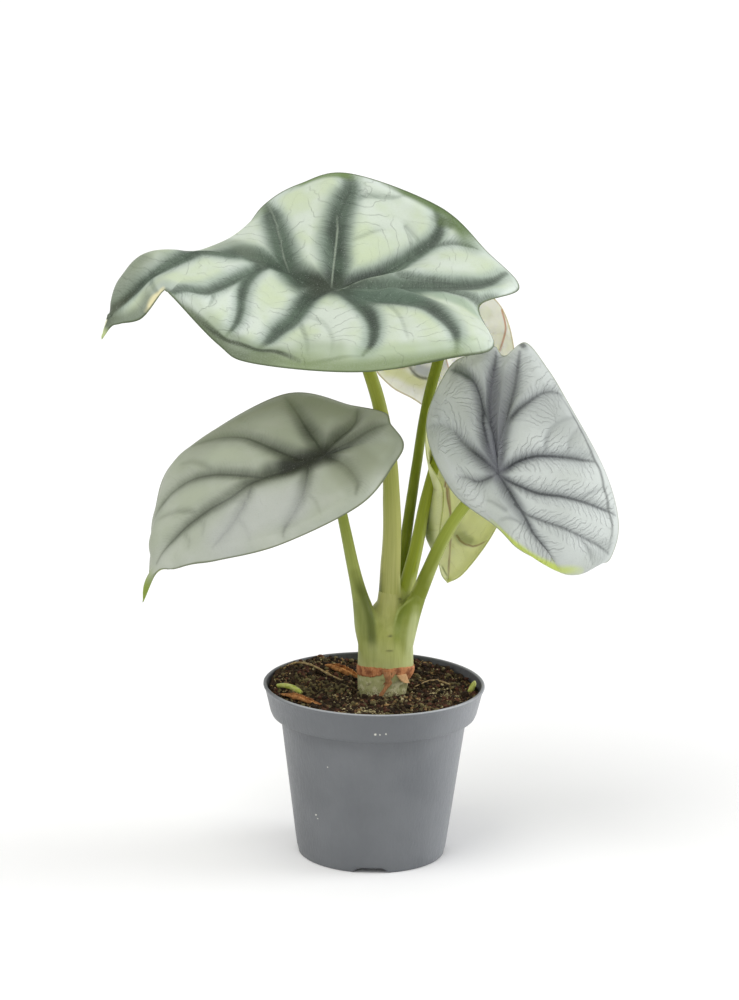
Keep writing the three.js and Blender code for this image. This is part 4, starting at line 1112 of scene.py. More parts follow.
def make_blade(name, leaf, settings):
    """One closed blade: an upper and a lower side that follow each other, and a rounded rim."""
    blade = Blade(leaf, leaf["spacing"])
    grid = blade.points(blade.rows, blade.columns)
    kept, numbers = merge_grid(grid)
    faces = grid_faces(numbers)
    look = LEAF_LOOKS[name]
    middle, valley, facts = blade_facts(blade, leaf, grid, kept, look["tip_length"])
    rim_gap = facts["rim_gap"]
    wave = np.array([noise.noise(Vector(point) * 0.05) for point in middle])
    swell = leaf["swell"] * ((1 - valley) * ease(rim_gap, -1, 9) + 0.25 * wave * ease(rim_gap, 0, 8))
    swell -= leaf["rim_roll"] * ease(rim_gap, 4, 0)
    middle = middle + corner_normals(middle, faces) * swell[:, None]
    up = soft_normals(middle, faces, rounds=5)

    half = settings.thickness / MM / 2 * (0.5 + 0.5 * ease(rim_gap, 0, 4))
    ridge = 0.6 * np.exp(-((facts["vein_gap"] / 1.1) ** 2)) * ease(rim_gap, 2, 14)
    for end in (blade.midrib[0], blade.midrib[-1]):
        ridge *= ease(np.linalg.norm(middle - end, axis=1), 5, 20)
    top = middle + up * half[:, None]
    bottom = middle - up * (half + ridge)[:, None]

    rim_bulge = 0.28
    edge = numbers[:, -1]
    outward = unit(middle[edge] - middle[numbers[:, -3]]) * rim_bulge
    lip_number = {}
    lip = []
    for number, shift in zip(edge, outward):
        if number not in lip_number:
            lip_number[number] = len(lip)
            lip.append(middle[number] + shift)
    size = len(middle)
    points = np.vstack([top, bottom, np.array(lip)]) * MM
    all_faces = faces + [tuple(size + i for i in reversed(face)) for face in faces]
    kinds = [0] * len(faces) + [1] * len(faces)
    for a, b in zip(edge[:-1], edge[1:]):
        if a != b:
            lip_a, lip_b = 2 * size + lip_number[a], 2 * size + lip_number[b]
            all_faces += [(a, lip_a, lip_b, b), (lip_a, size + a, size + b, lip_b)]
            kinds += [0, 1]
    lip_edge = np.array(list(lip_number), int)
    facts = {fact: np.concatenate([values, values, values[lip_edge]]) for fact, values in facts.items()}
    finishes = [leaf_upper(name, look), leaf_under(name, look)]
    return make_mesh(f"{name}_leaf_blade_skin", points, all_faces, finishes, kinds, facts)


# ----- operators
def settings_of(context):
    return context.scene.alocasia


class ALOCASIA_OT_leaf_blades(bpy.types.Operator):
    """Build the five veined leaf blades"""

    bl_idname = "alocasia.leaf_blades"
    bl_label = "Leaf blades"

    def execute(self, context):
        settings = settings_of(context).blade
        leaves = {
            "top": (TOP_LEAF, "silver_leaf"),
            "left": (LEFT_LEAF, "silver_leaf"),
            "right": (RIGHT_LEAF, "grey_leaf"),
            "hanging": (HANGING_LEAF, "pale_leaf"),
            "back": (BACK_LEAF, "pale_leaf"),
        }
        for name, (leaf, slot) in leaves.items():
            piece = make_blade(name, leaf, settings)
            place(piece, slot, f"{name}_leaf_blade")
        return {"FINISHED"}


def keep_under(points, blade, hub):
    """Moves points near the hub, in metres, that stick out above a blade to just inside it."""
    hub_reach, search, upper_side = 7 * MM, 12 * MM, 0
    sheet = blade.data.polygons
    for number in np.flatnonzero(np.linalg.norm(points - hub, axis=1) < hub_reach):
        point = Vector(points[number])
        near, spot, normal, face = blade.closest_point_on_mesh(point, distance=search)
        above = near and sheet[face].material_index == upper_side
        if above and (point - spot).dot(normal) > -0.1 * MM:
            points[number] = spot - normal * 0.25 * MM
    return points


class ALOCASIA_OT_leaf_stalks(bpy.types.Operator):
    """Build the five leaf stalks, each up to its blade"""

    bl_idname = "alocasia.leaf_stalks"
    bl_label = "Leaf stalks"

    def execute(self, context):
        settings = settings_of(context).stem
        context.view_layer.update()
        for seed, (name, route) in enumerate(STALKS.items()):
            blade = bpy.data.objects.get(f"{name}_leaf_blade_skin")
            if blade is None:
                raise RuntimeError("The leaf blades are built before their stalks")
            points, faces, along, around = tube(route, steps=90, sides=28, wobble=0.05, seed=seed)
            points = keep_under(points, blade, np.array(route[-1][:3]) * MM)
            _, _, low, high = STALK_GREENS[name]
            facts = {"along": along, "around": around, "height_share": ease(points[:, 2] / MM, low, high)}
            facts |= painted(points / MM, STEM_PAINT)
            finishes = [stalk_finish(name, settings)]
            piece = make_mesh(f"{name}_leaf_stalk_skin", points, faces, finishes, facts=facts)
            place(piece, "stalk", f"{name}_leaf_stalk")
        return {"FINISHED"}


def stem_finish(settings):
    """Pale at the foot and greener up, with faint upright streaks and brushed marks, some of them painted
    shade and painted light.
    """
    finish = Finish("stem_skin", Specular_IOR_Level=0.28)
    place_mm = finish.place()
    _, _, z = finish.parts(place_mm)
    lines = finish.noise(finish.stretch(place_mm, 0.55, 0.55, 0.03), 1, detail=4, roughness=0.6)
    blotch = finish.noise(place_mm, 0.09, detail=3)
    grain = finish.noise(place_mm, 1.4, detail=3)
    colour = finish.mix(finish.step(z, 96, 118), tuple(settings.foot), tuple(settings.middle))
    colour = finish.mix(finish.step(z, 124, 142), colour, tuple(settings.shade))
    colour = finish.mix(finish.fact("cover"), colour, finish.fact("paint", vector=True))
    colour = finish.mix(finish.step(lines, 0.35, 0.7, 0, 0.2), colour, tuple(settings.streak))
    colour = finish.mix(finish.step(blotch, 0.4, 0.8, 0, 0.25), colour, rgb(186, 192, 132))
    foot = finish.step(z, 102, 98)
    patches = finish.times(foot, finish.step(finish.noise(place_mm, 0.3, detail=4), 0.42, 0.62))
    colour = finish.mix(finish.times(patches, 0.8), colour, rgb(208, 204, 164))
    specks = finish.times(foot, finish.step(grain, 0.62, 0.7, 0, 0.7))
    colour = finish.mix(specks, colour, rgb(96, 84, 54))
    smudge = finish.times(finish.step(z, 97, 91), finish.step(grain, 0.4, 0.65))
    colour = finish.mix(smudge, colour, rgb(92, 76, 50))
    return finish.done(colour, finish.step(lines, 0.3, 0.8, 0.4, 0.55), finish.bump(lines, 0.3 * MM))


def fused(parts, voxel, rounds):
    """One closed body, as points in metres and faces, from bodies that overlap. Its creases are soft."""
    points, faces = [], []
    for part_points, part_faces in parts:
        faces += shifted(part_faces, len(points))
        points += [tuple(point) for point in part_points]
    rough = make_mesh("rough_body", points, faces, [])
    merge = rough.modifiers.new("merge", "REMESH")
    merge.mode = "VOXEL"
    merge.voxel_size = voxel
    soften = rough.modifiers.new("soften", "SMOOTH")
    soften.iterations = rounds
    done = rough.evaluated_get(bpy.context.evaluated_depsgraph_get()).data
    points = np.array([tuple(corner.co) for corner in done.vertices])
    faces = [tuple(face.vertices) for face in done.polygons]
    bpy.data.objects.remove(rough)
    return points, faces


def stem_section(height):
    """The stem at a height: (x, y, half width, half depth) in millimetres."""
    table = np.array(STEM_SECTIONS, float)
    return smooth(table, np.interp([height], table[:, 0], np.arange(len(table))))[0][1:]


class ALOCASIA_OT_stem(bpy.types.Operator):
    """Build the stem, with the stalks' feet grown into it"""

    bl_idname = "alocasia.stem"
    bl_label = "Stem"

    def execute(self, context):
        parts = [self.column()] + [self.stalk_foot(route) for route in STALKS.values()]
        points, faces = fused(parts, voxel=0.75 * MM, rounds=9)
        facts = painted(points / MM, STEM_PAINT, *self.stalk_greens(points / MM))
        finishes = [stem_finish(settings_of(context).stem)]
        piece = make_mesh("stem_skin", points, faces, finishes, facts=facts)
        place(piece, "stem", "stem")
        return {"FINISHED"}

    def column(self):
        low, high, sides = 72, 141.01, 96
        heights = np.arange(low, high, 0.8)
        points = []
        for height in heights:
            x, y, wide, deep = stem_section(height)
            for angle in np.linspace(0, 2 * np.pi, sides, endpoint=False):
                cos, sin = math.cos(angle), math.sin(angle)
                rough = 1 + 0.02 * noise.noise(Vector((cos * 2, sin * 2, height * 0.07)))
                points.append((x + cos * wide * rough, y + sin * deep * rough, height))
        return np.array(points) * MM, ring_faces(len(heights), sides)

    def stalk_greens(self, points):
        """Each point's blend of the nearest stalks' colours, and how far it covers the stem's own."""
        blend, total = np.zeros((len(points), 3)), np.zeros(len(points))
        for name, route in STALKS.items():
            line = even(route, np.linspace(0, 1, 60))
            gap, _, share = gap_to_route(points, line[:, :3])
            weight = np.exp(-(gap - np.interp(share, np.linspace(0, 1, 60), line[:, 3])) / 1.6)
            blend += np.outer(weight, rgb(*STALK_GREENS[name][0])[:3])
            total += weight
        return blend / total[:, None], ease(points[:, 2], 108, 140)

    def stalk_foot(self, route):
        """A stalk's foot: a little wider than the stalk low down, and inside it at the top."""
        top = 160
        line = even(route, np.linspace(0, 1, 80))
        line = line[line[:, 2] < top]
        line[:, 3] += 0.5 - ease(line[:, 2], 136, 158)
        points, faces, _, _ = tube(line, steps=50, sides=32)
        return points, faces


# ----- pot
def pot_profile(settings):
    """Closed outline of the pot's wall: (radius, height) in metres, up the outside and down inside."""
    height, rim, wall = settings.height / MM, settings.rim_radius / MM, settings.wall / MM
    foot, shoulder = settings.foot_radius / MM, settings.shoulder_radius / MM
    band, band_low = settings.band_radius / MM, height - settings.band_height / MM
    lip, floor = 1.6, 3
    outline = [
        (0, 0), (8.6, 0), (9, 0.2), (9.8, 2.4), (11.4, floor),
        (foot - 4.8, floor), (foot - 3.4, 1.4), (foot - 3.1, 0.3), (foot - 2.6, 0),
        (foot - 1.1, 0), (foot - 0.4, 0.25), (foot, 1), (foot + 0.45, 4),
    ]
    for share in np.linspace(0.1, 0.95, 9):
        outline.append((foot + (shoulder - foot) * share, band_low * share))
    outline += [
        (shoulder - 0.05, band_low - 1.3), (shoulder + 0.3, band_low - 0.5),
        (shoulder + 1.1, band_low), (band - 1.1, band_low + 0.05), (band - 0.3, band_low + 0.3),
        (band + 0.05, band_low + 1.1),
    ]
    top = rim - 0.7
    for share in np.linspace(0.15, 0.85, 5):
        outline.append((band + (top - band) * share, band_low + (height - lip - band_low) * share))
    outline += [
        (top - 0.05, height - lip - 0.5), (rim - 0.25, height - lip), (rim, height - lip + 0.5),
        (rim - 0.05, height - 0.45), (rim - 0.45, height - 0.05), (rim - 0.9, height),
        (rim - 1.5, height - 0.15), (rim - 1.9, height - 0.8),
    ]
    outline += [
        (band - wall, band_low + wall + 0.8), (shoulder - wall, band_low + wall),
        (shoulder - wall - 0.5, band_low),
        (foot - wall + 0.4, 5.8), (foot - wall - 0.8, 4.3), (0, 4.2),
    ]
    return [(radius * MM, z * MM) for radius, z in outline]


# Four arches are cut in the pot's foot: half width, height and the flat share of their top, with
# lengths in millimetres. The first points of the outline are the foot's.
NOTCH_HALF_WIDTH = 10
NOTCH_HEIGHT = 2.9
NOTCH_FLAT = 0.45
POT_FOOT_POINTS = 12
# Drain holes in the floor: how many, their radius, and how far their middles lie from the pot's.
DRAIN_HOLES, DRAIN_RADIUS, DRAIN_CIRCLE, DRAIN_SIDES = 6, 4, 25, 24


def notch_height(angle, radius):
    """Height of the arches cut in the foot, for a point at that angle and radius."""
    quarter = math.pi / 2
    turn = (angle + quarter / 2) % quarter - quarter / 2
    reach = abs(turn * radius) / (NOTCH_HALF_WIDTH * MM)
    if reach >= 1:
        return 0
    fall = ((reach - NOTCH_FLAT) / (1 - NOTCH_FLAT)) ** 2 if reach > NOTCH_FLAT else 0
    return NOTCH_HEIGHT * MM * (1 - fall)


# Pale scuffs on the pot's front: x, z and size in millimetres.
POT_SCUFFS = [
    (1, 83.4, 0.9), (3.4, 83.2, 0.5), (6.6, 83.6, 0.6), (-30, 30, 0.6), (-29, 28, 0.4), (-24, 60, 0.4),
]


def pot_finish(settings):
    """Satin grey plastic with faint upright flow lines, scuffs and dust; painted light makes the right side
    cooler and paler and lights the lip, painted shade darkens the inside.
    """
    finish = Finish("pot_plastic", Specular_IOR_Level=0.65)
    place_mm = finish.place()
    x, y, z = finish.parts(place_mm)
    streaks = finish.noise(finish.stretch(place_mm, 0.22, 0.22, 0.006), 1, detail=5, roughness=0.6)
    cloud = finish.noise(place_mm, 0.03, detail=3)
    dust = finish.step(finish.noise(place_mm, 0.9, detail=4, roughness=0.75), 0.68, 0.78)
    plastic = tuple(settings.plastic)
    # Painted light: a cool tint on the right, where the cool light falls.
    cool_light_tint = finish.mix(1, plastic, rgb(250, 252, 255), "MULTIPLY")
    colour = finish.mix(finish.step(x, -55, 50), plastic, cool_light_tint)
    colour = finish.mix(finish.step(streaks, 0.3, 0.75, 0, 0.25), colour, rgb(90, 93, 96))
    colour = finish.mix(finish.step(cloud, 0.35, 0.7, 0, 0.25), colour, rgb(124, 127, 130))
    low = finish.step(z, 26, 0, 0, 0.35)
    colour = finish.mix(finish.times(low, dust), colour, rgb(168, 168, 160))
    colour = finish.mix(finish.times(dust, 0.10), colour, rgb(180, 178, 170))
    for scuff_x, scuff_z, size in POT_SCUFFS:
        gap = finish.node("ShaderNodeVectorMath", operation="DISTANCE")
        finish.feed(gap.inputs[0], finish.join(x, finish.step(y, 0, 10, 0, 20), z))
        gap.inputs[1].default_value = (scuff_x, 0, scuff_z)
        ragged = finish.maths("MULTIPLY_ADD", finish.noise(place_mm, 2), size, gap.outputs["Value"])
        colour = finish.mix(finish.step(ragged, size * 0.9, size * 1.5, 0.9, 0), colour, rgb(214, 212, 200))
    # Painted light: the right side is paler, where the light from the right falls on it.
    colour = finish.mix(finish.step(x, 22, 62, 0, 0.4), colour, rgb(176, 178, 182))
    # Painted highlight: a pale line along the front of the lip, where its top catches the light.
    painted_lip_highlight = finish.times(finish.step(z, 94.2, 94.9), finish.step(y, -20, -50, 0, 0.6))
    colour = finish.mix(painted_lip_highlight, colour, rgb(196, 199, 203))
    # Painted shade: the inner wall and floor are darker, as the pot's inside lies in shade.
    colour = finish.mix(finish.fact("inside"), colour, rgb(44, 46, 49))
    fine = finish.noise(finish.stretch(place_mm, 0.9, 0.9, 0.3), 1, detail=4)
    rough = finish.step(fine, 0.3, 0.75, 0.38, 0.5)
    return finish.done(colour, rough, finish.bump(finish.maths("ADD", streaks, fine), 0.25 * MM))


class ALOCASIA_OT_pot(bpy.types.Operator):
    """Build the nursery pot"""

    bl_idname = "alocasia.pot"
    bl_label = "Pot"

    def execute(self, context):
        settings = settings_of(context).pot
        outline = pot_profile(settings)
        sides = 240
        points, inside = [], []
        foot = range(POT_FOOT_POINTS)
        notched = {
            i for i in foot
            if outline[i][0] > settings.foot_radius - 5 * MM and outline[i][1] < NOTCH_HEIGHT * MM
        }
        outer_last = max(i for i, (_, z) in enumerate(outline) if z >= settings.height - 0.01 * MM)
        for i, (radius, z) in enumerate(outline[1:-1], start=1):
            for side in range(sides):
                angle = 2 * math.pi * side / sides
                lift = notch_height(angle, radius) if i in notched else 0
                points.append((radius * math.cos(angle), radius * math.sin(angle), max(z, lift)))
                # Points on the inner wall and floor, which the finish darkens as painted shade.
                inside.append(float(i > outer_last + 1))
        rings = len(outline) - 2
        faces = [face[::-1] for face in ring_faces(rings, sides, closed_caps=False)]
        bottom, top = len(points), len(points) + 1
        points += [(0, 0, 0), (0, 0, outline[-1][1])]
        inside += [0.0, 1.0]
        last = (rings - 1) * sides
        for side in range(sides):
            after = (side + 1) % sides
            faces.append((bottom, after, side))
            faces.append((top, last + side, last + after))
        piece = make_mesh("pot_shell", points, faces, [pot_finish(settings)], facts={"inside": inside})
        bpy.context.view_layer.update()
        self.drill(piece)
        place(piece, "pot_plastic", "pot")
        return {"FINISHED"}

    def drill(self, piece):
        """Cuts the drain holes through the floor."""
        points, faces = [], []
        for hole in range(DRAIN_HOLES):
            angle = 2 * math.pi * (hole + 0.5) / DRAIN_HOLES
            first = len(points)
            for z in (1 * MM, 6 * MM):
                for side in range(DRAIN_SIDES):
                    turn = 2 * math.pi * side / DRAIN_SIDES
                    x = DRAIN_CIRCLE * math.cos(angle) + DRAIN_RADIUS * math.cos(turn)
                    y = DRAIN_CIRCLE * math.sin(angle) + DRAIN_RADIUS * math.sin(turn)
                    points.append((x * MM, y * MM, z))
            faces += ring_faces(2, DRAIN_SIDES, first=first)
        cutter = make_mesh("drain_cutter", points, faces, [])
        cut = piece.modifiers.new("drain_holes", "BOOLEAN")
        cut.object = cutter
        cut.operation = "DIFFERENCE"
        cut.solver = "EXACT"
        bpy.context.view_layer.objects.active = piece
        with bpy.context.temp_override(object=piece, active_object=piece):
            bpy.ops.object.modifier_apply(modifier=cut.name)
        bpy.data.objects.remove(cutter)


# ----- soil
def soil_level(context):
    """The level setting in whole thousandths of a millimetre."""
    return round(settings_of(context).soil.level / MM, 3)


def soil_height(x, y, level):
    """Height of the soil's surface in millimetres, before its crumbs."""
    heap = 4.6 * math.exp(-((x + 46) ** 2 + (y - 24) ** 2) / 22**2)
    bank = 4.0 * math.exp(-((x + 30) ** 2 + (y - 46) ** 2) / 18**2)
    mound = 1.6 * math.exp(-((x - 4) ** 2 + (y + 14) ** 2) / 10**2)
    back = 3.2 * math.exp(-((x - 26) ** 2 + (y - 50) ** 2) / 20**2)
    return level + heap + bank + mound + back


def soil_lumps(x, y):
    coarse = noise.noise(Vector((x * 0.11, y * 0.11, 1.3)))
    middle = noise.noise(Vector((x * 0.32, y * 0.32, 5.1)))
    fine = noise.noise(Vector((x * 0.8, y * 0.8, 9.7)))
    return 1.5 * coarse + 1.4 * middle + 0.7 * fine


# Kinds of crumbs: colour, share of all crumbs, smallest and largest size in millimetres, stretch.
CRUMBS = [
    ((52, 39, 27), 0.30, 0.5, 2.0, 1.2),
    ((96, 62, 48), 0.21, 0.45, 1.6, 1.4),
    ((118, 108, 74), 0.20, 0.45, 1.7, 1.2),
    ((158, 128, 86), 0.16, 0.35, 1.1, 1.9),
    ((206, 192, 146), 0.13, 0.35, 0.95, 1.5),
]
# Where paler or redder crumbs lie together: (x, y, radius, kind, chance).
CRUMB_BEDS = [
    (37, -2, 7, 4, 0.7), (0, -45, 9, 4, 0.6), (14, -50, 9, 4, 0.6), (-9, -38, 8, 4, 0.55),
    (-12, -18, 6, 4, 0.5), (-30, -2, 13, 2, 0.65), (24, -34, 10, 2, 0.35), (-22, -44, 12, 1, 0.5),
    (36, -20, 10, 1, 0.4), (20, -14, 5, 3, 0.4),
]
# A crumb: a ball of twelve corners and twenty small faces.
CRUMB_CORNERS = [
    (0, 0, 1), (0.9, 0, 0.4), (0.3, 0.85, 0.4), (-0.7, 0.5, 0.4), (-0.7, -0.5, 0.4), (0.3, -0.85, 0.4),
    (0.7, 0.5, -0.4), (-0.3, 0.85, -0.4), (-0.9, 0, -0.4), (-0.3, -0.85, -0.4), (0.7, -0.5, -0.4),
    (0, 0, -1),
]
CRUMB_FACES = [
    (0, 1, 2), (0, 2, 3), (0, 3, 4), (0, 4, 5), (0, 5, 1), (1, 6, 2), (2, 7, 3), (3, 8, 4), (4, 9, 5),
    (5, 10, 1), (1, 10, 6), (2, 6, 7), (3, 7, 8), (4, 8, 9), (5, 9, 10), (11, 7, 6), (11, 8, 7),
    (11, 9, 8), (11, 10, 9), (11, 6, 10),
]
# Dry fibres between the crumbs: their number, half width in millimetres and colours.
STRAW = 130
STRAW_RADIUS = 0.13
STRAW_COLOURS = [(176, 152, 104), (142, 116, 76), (120, 84, 58)]


def soil_finish(settings):
    """Crumb colours, broken up by a fine grit."""
    finish = Finish("soil_mix", Specular_IOR_Level=0.2, Roughness=0.92)
    place_mm = finish.place()
    clumps = finish.noise(place_mm, 0.3, detail=5, roughness=0.7)
    grit = finish.noise(place_mm, 1.5, detail=5, roughness=0.75)
    tone = finish.fact("tone", vector=True)
    colour = finish.mix(finish.step(clumps, 0.5, 0.75, 0, 0.5), tone, tuple(settings.dark))
    colour = finish.mix(finish.step(grit, 0.5, 0.8, 0, 0.4), colour, tuple(settings.pale))
    return finish.done(colour, None, finish.bump(grit, 1.2 * MM))


class ALOCASIA_OT_soil(bpy.types.Operator):
    """Build the crumbly soil"""

    bl_idname = "alocasia.soil"
    bl_label = "Soil"

    def execute(self, context):
        settings = settings_of(context).soil
        level = soil_level(context)
        draw = random.Random(11)
        points, faces, tone = self.bed(level)
        for more in (self.crumbs(draw, level, settings.crumbs), self.straw(draw, level)):
            faces += shifted(more[1], len(points))
            points += more[0]
            tone += more[2]
        points = np.array(points) * MM
        piece = make_mesh("soil_bed", points, faces, [soil_finish(settings)], facts={"tone": tone})
        place(piece, "soil", "soil")
        return {"FINISHED"}

    def bed(self, level):
        """A closed body that fills the pot, with a lumpy top."""
        sides, rings = 150, 62
        points, tone = [], []
        wall = [(20, 4.6), (38, 4.7), (39.4, 6.4), (49, 78.6), (54.0, 79.4)]
        brim, brim_height = wall[-1]
        for radius, z in wall:
            for side in range(sides):
                angle = 2 * math.pi * side / sides
                points.append((radius * math.cos(angle), radius * math.sin(angle), z))
                tone.append(rgb(44, 33, 23)[:3])
        for ring in range(rings):
            radius = 57.2 * (1 - ring / rings)
            for side in range(sides):
                angle = 2 * math.pi * (side + 0.5 * (ring % 2)) / sides
                x, y = radius * math.cos(angle), radius * math.sin(angle)
                z = soil_height(x, y, level) + soil_lumps(x, y)
                reach = min(radius, brim + (z - brim_height) * 0.24)
                points.append((x * reach / radius, y * reach / radius, z))
                lift = 0.5 + 0.5 * noise.noise(Vector((x * 0.2, y * 0.2, 3)))
                shades = zip(rgb(44, 33, 24), rgb(84, 63, 44)[:3])
                tone.append([low + (high - low) * lift for low, high in shades])
        return points, ring_faces(len(wall) + rings, sides), tone

    def crumb_kind(self, draw, x, y):
        for bed_x, bed_y, radius, kind, chance in CRUMB_BEDS:
            if math.hypot(x - bed_x, y - bed_y) < radius and draw.random() < chance:
                return CRUMBS[kind]
        return draw.choices(CRUMBS, [crumb[1] for crumb in CRUMBS])[0]

    def crumbs(self, draw, level, count):
        """Small angular bits strewn over the top."""
        ball = [Vector(corner).normalized() for corner in CRUMB_CORNERS]
        points, faces, tone = [], [], []
        for _ in range(count):
            radius = 55.6 * math.sqrt(draw.random())
            angle = draw.random() * 2 * math.pi
            x, y = radius * math.cos(angle), radius * math.sin(angle)
            colour, _, smallest, largest, longer = self.crumb_kind(draw, x, y)
            size = smallest + (largest - smallest) * draw.random() ** 2
            stretch = Vector((draw.uniform(0.6, longer), draw.uniform(0.6, 1.1), draw.uniform(0.5, 1)))
            spin = Matrix.Rotation(draw.random() * 6.3, 3, "Z") @ Matrix.Rotation(draw.uniform(-0.7, 0.7),
                                                                                  3, "Y")
            centre = Vector((x, y, soil_height(x, y, level) + soil_lumps(x, y) + size * 0.25))
            light = draw.uniform(0.75, 1.2)
            faces += shifted(CRUMB_FACES, len(points))
            for corner in ball:
                bit = Vector((corner.x * stretch.x, corner.y * stretch.y, corner.z * stretch.z)) * size
                points.append(centre + spin @ (bit * draw.uniform(0.8, 1.2)))
                tone.append(rgb(*[value * light for value in colour])[:3])
        return points, faces, tone

    def straw(self, draw, level):
        """Thin dry fibres that lie between the crumbs."""
        points, faces, tone = [], [], []
        for _ in range(STRAW):
            radius, angle = 52 * math.sqrt(draw.random()), draw.random() * 2 * math.pi
            x, y = radius * math.cos(angle), radius * math.sin(angle)
            turn, length = draw.random() * 2 * math.pi, draw.uniform(2, 6)
            route = []
            for share in (-1, -0.3, 0.4, 1):
                fibre_x = x + length * share * math.cos(turn) / 2
                fibre_y = y + length * share * math.sin(turn) / 2
                turn += draw.uniform(-0.4, 0.4)
                surface = soil_height(fibre_x, fibre_y, level) + soil_lumps(fibre_x, fibre_y)
                route.append((fibre_x, fibre_y, surface + draw.uniform(0.2, 1.1), STRAW_RADIUS))
            fibre, skin, _, _ = tube(route, steps=8, sides=5)
            faces += shifted(skin, len(points))
            points += [Vector(point / MM) for point in fibre]
            tone += [rgb(*draw.choice(STRAW_COLOURS))[:3]] * len(fibre)
        return points, faces, tone


# ----- dried ring and litter
def dried_finish(name, base, light, deep):
    finish = Finish(name, Specular_IOR_Level=0.2)
    place_mm = finish.place()
    fibres = finish.noise(finish.stretch(place_mm, 1.6, 1.6, 0.35), 1, detail=5, roughness=0.7)
    blotch = finish.noise(place_mm, 0.25, detail=3)
    colour = finish.mix(finish.step(fibres, 0.35, 0.7), rgb(*base), rgb(*light))
    colour = finish.mix(finish.step(blotch, 0.45, 0.7, 0, 0.8), colour, rgb(*deep))
    colour = finish.mix(finish.fact("paper"), colour, rgb(206, 180, 132))
    return finish.done(colour, finish.step(fibres, 0.3, 0.7, 0.65, 0.85), finish.bump(fibres, 0.5 * MM))


def fresh_finish():
    finish = Finish("fresh_shoot_skin", Specular_IOR_Level=0.4)
    place_mm = finish.place()
    lines = finish.noise(place_mm, 0.6, detail=4)
    colour = finish.mix(finish.step(lines, 0.35, 0.7), rgb(176, 188, 76), rgb(206, 208, 128))
    return finish.done(colour, finish.step(lines, 0.3, 0.7, 0.35, 0.5), finish.bump(lines, 0.3 * MM))


def root_finish():
    finish = Finish("root_skin", Specular_IOR_Level=0.25)
    lines = finish.noise(finish.place(), 0.8, detail=4)
    colour = finish.mix(finish.step(lines, 0.35, 0.7), rgb(142, 116, 78), rgb(190, 168, 124))
    return finish.done(colour, finish.step(lines, 0.3, 0.7, 0.7, 0.85), finish.bump(lines, 0.3 * MM))


# Bits that lie on the soil: their middle line as (x, y, height above the soil, radius), and their kind.
LITTER = {
    "green_shoot_stub": (
        [(-52.5, -1, 1.2, 1), (-49, -2.6, 2, 1.3), (-44.5, -4.8, 2, 1.5), (-41, -7.2, 1.2, 1.4),
         (-39, -9.2, 0.6, 1)],
        "green_shoot",
    ),
    "yellow_shoot_stub": (
        [(52, 1.5, -0.4, 1.5), (53.2, 1.6, 2.2, 1.6), (54.2, 1.4, 4.6, 1.4), (54.6, 0.6, 6.4, 0.5)],
        "green_shoot",
    ),
    "dried_sheath_front": (
        [(-50, -14, 1.4, 0.8), (-44, -19, 2.6, 2.2), (-37, -25, 2.4, 2.2), (-28, -31, 1.2, 0.7)],
        "dried_leaf_base",
    ),
    "dried_sheath_back": (
        [(-27, 32, 0.8, 0.8), (-21, 28, 2.8, 2.9), (-14, 24, 2.6, 2.8), (-8, 20, 1, 1)],
        "dried_leaf_base",
    ),
    "root_fibre_left": (
        [(-50, 22, 0.6, 0.4), (-43, 27, 2.2, 0.55), (-34, 24, 2.6, 0.55), (-24, 17, 1.8, 0.5),
         (-17, 14, 0.6, 0.3)],
        "root",
    ),
    "root_fibre_right": (
        [(22, 7, 0.8, 0.3), (30, 14, 2, 0.5), (37, 14, 1.8, 0.5), (45, 7, 0.4, 0.3)],
        "root",
    ),
}


def curled_sheath(route, seed):
    """A thin dry sheath: a strip with its long edges rolled up, as points in metres and faces."""
    shares = np.linspace(0, 1, 48)
    line = even(route, shares)
    heading = unit(np.gradient(line[:, :3], axis=0))
    side = unit(np.cross(heading, (0, 0, 1)))
    up = np.cross(side, heading)
    turns = np.linspace(math.radians(150), math.radians(405), 15)
    outer, inner = [], []
    middle = len(turns) // 2
    for row, (centre, width) in enumerate(zip(line[:, :3], line[:, 3])):
        for column, turn in enumerate(turns):
            torn = noise.noise(Vector((row * 0.25, column * 0.5, seed)))
            edge = abs(column - middle) / middle
            ragged = 1 + 0.3 * torn + 0.35 * edge**3 * noise.noise(Vector((row * 0.9, seed, edge)))
            for shell, radius in ((outer, width * ragged), (inner, max(width * ragged - 0.3, 0.1))):
                across = side[row] * math.cos(turn) * radius
                shell.append(centre + across + up[row] * math.sin(turn) * radius * 0.75)
    return np.array(outer + inner) * MM, sheet_faces(len(line), len(turns))


class ALOCASIA_OT_litter(bpy.types.Operator):
    """Build the shoot stubs, dried sheaths and roots on the soil"""

    bl_idname = "alocasia.litter"
    bl_label = "Bits on the soil"

    def execute(self, context):
        looks = {
            "green_shoot": fresh_finish(),
            "dried_leaf_base": dried_finish("dried_sheath", (184, 120, 68), (216, 164, 106), (112, 66, 38)),
            "root": root_finish(),
        }
        level = soil_level(context)
        for seed, (name, (route, slot)) in enumerate(LITTER.items()):
            route = [(x, y, soil_height(x, y, level) + lift, radius) for x, y, lift, radius in route]
            if slot == "dried_leaf_base":
                points, faces = curled_sheath(route, seed)
            else:
                points, faces, _, _ = tube(route, steps=40, sides=16, wobble=0.1, seed=seed)
            piece = make_mesh(f"{name}_skin", points, faces, [looks[slot]])
            place(piece, slot, name)
        return {"FINISHED"}


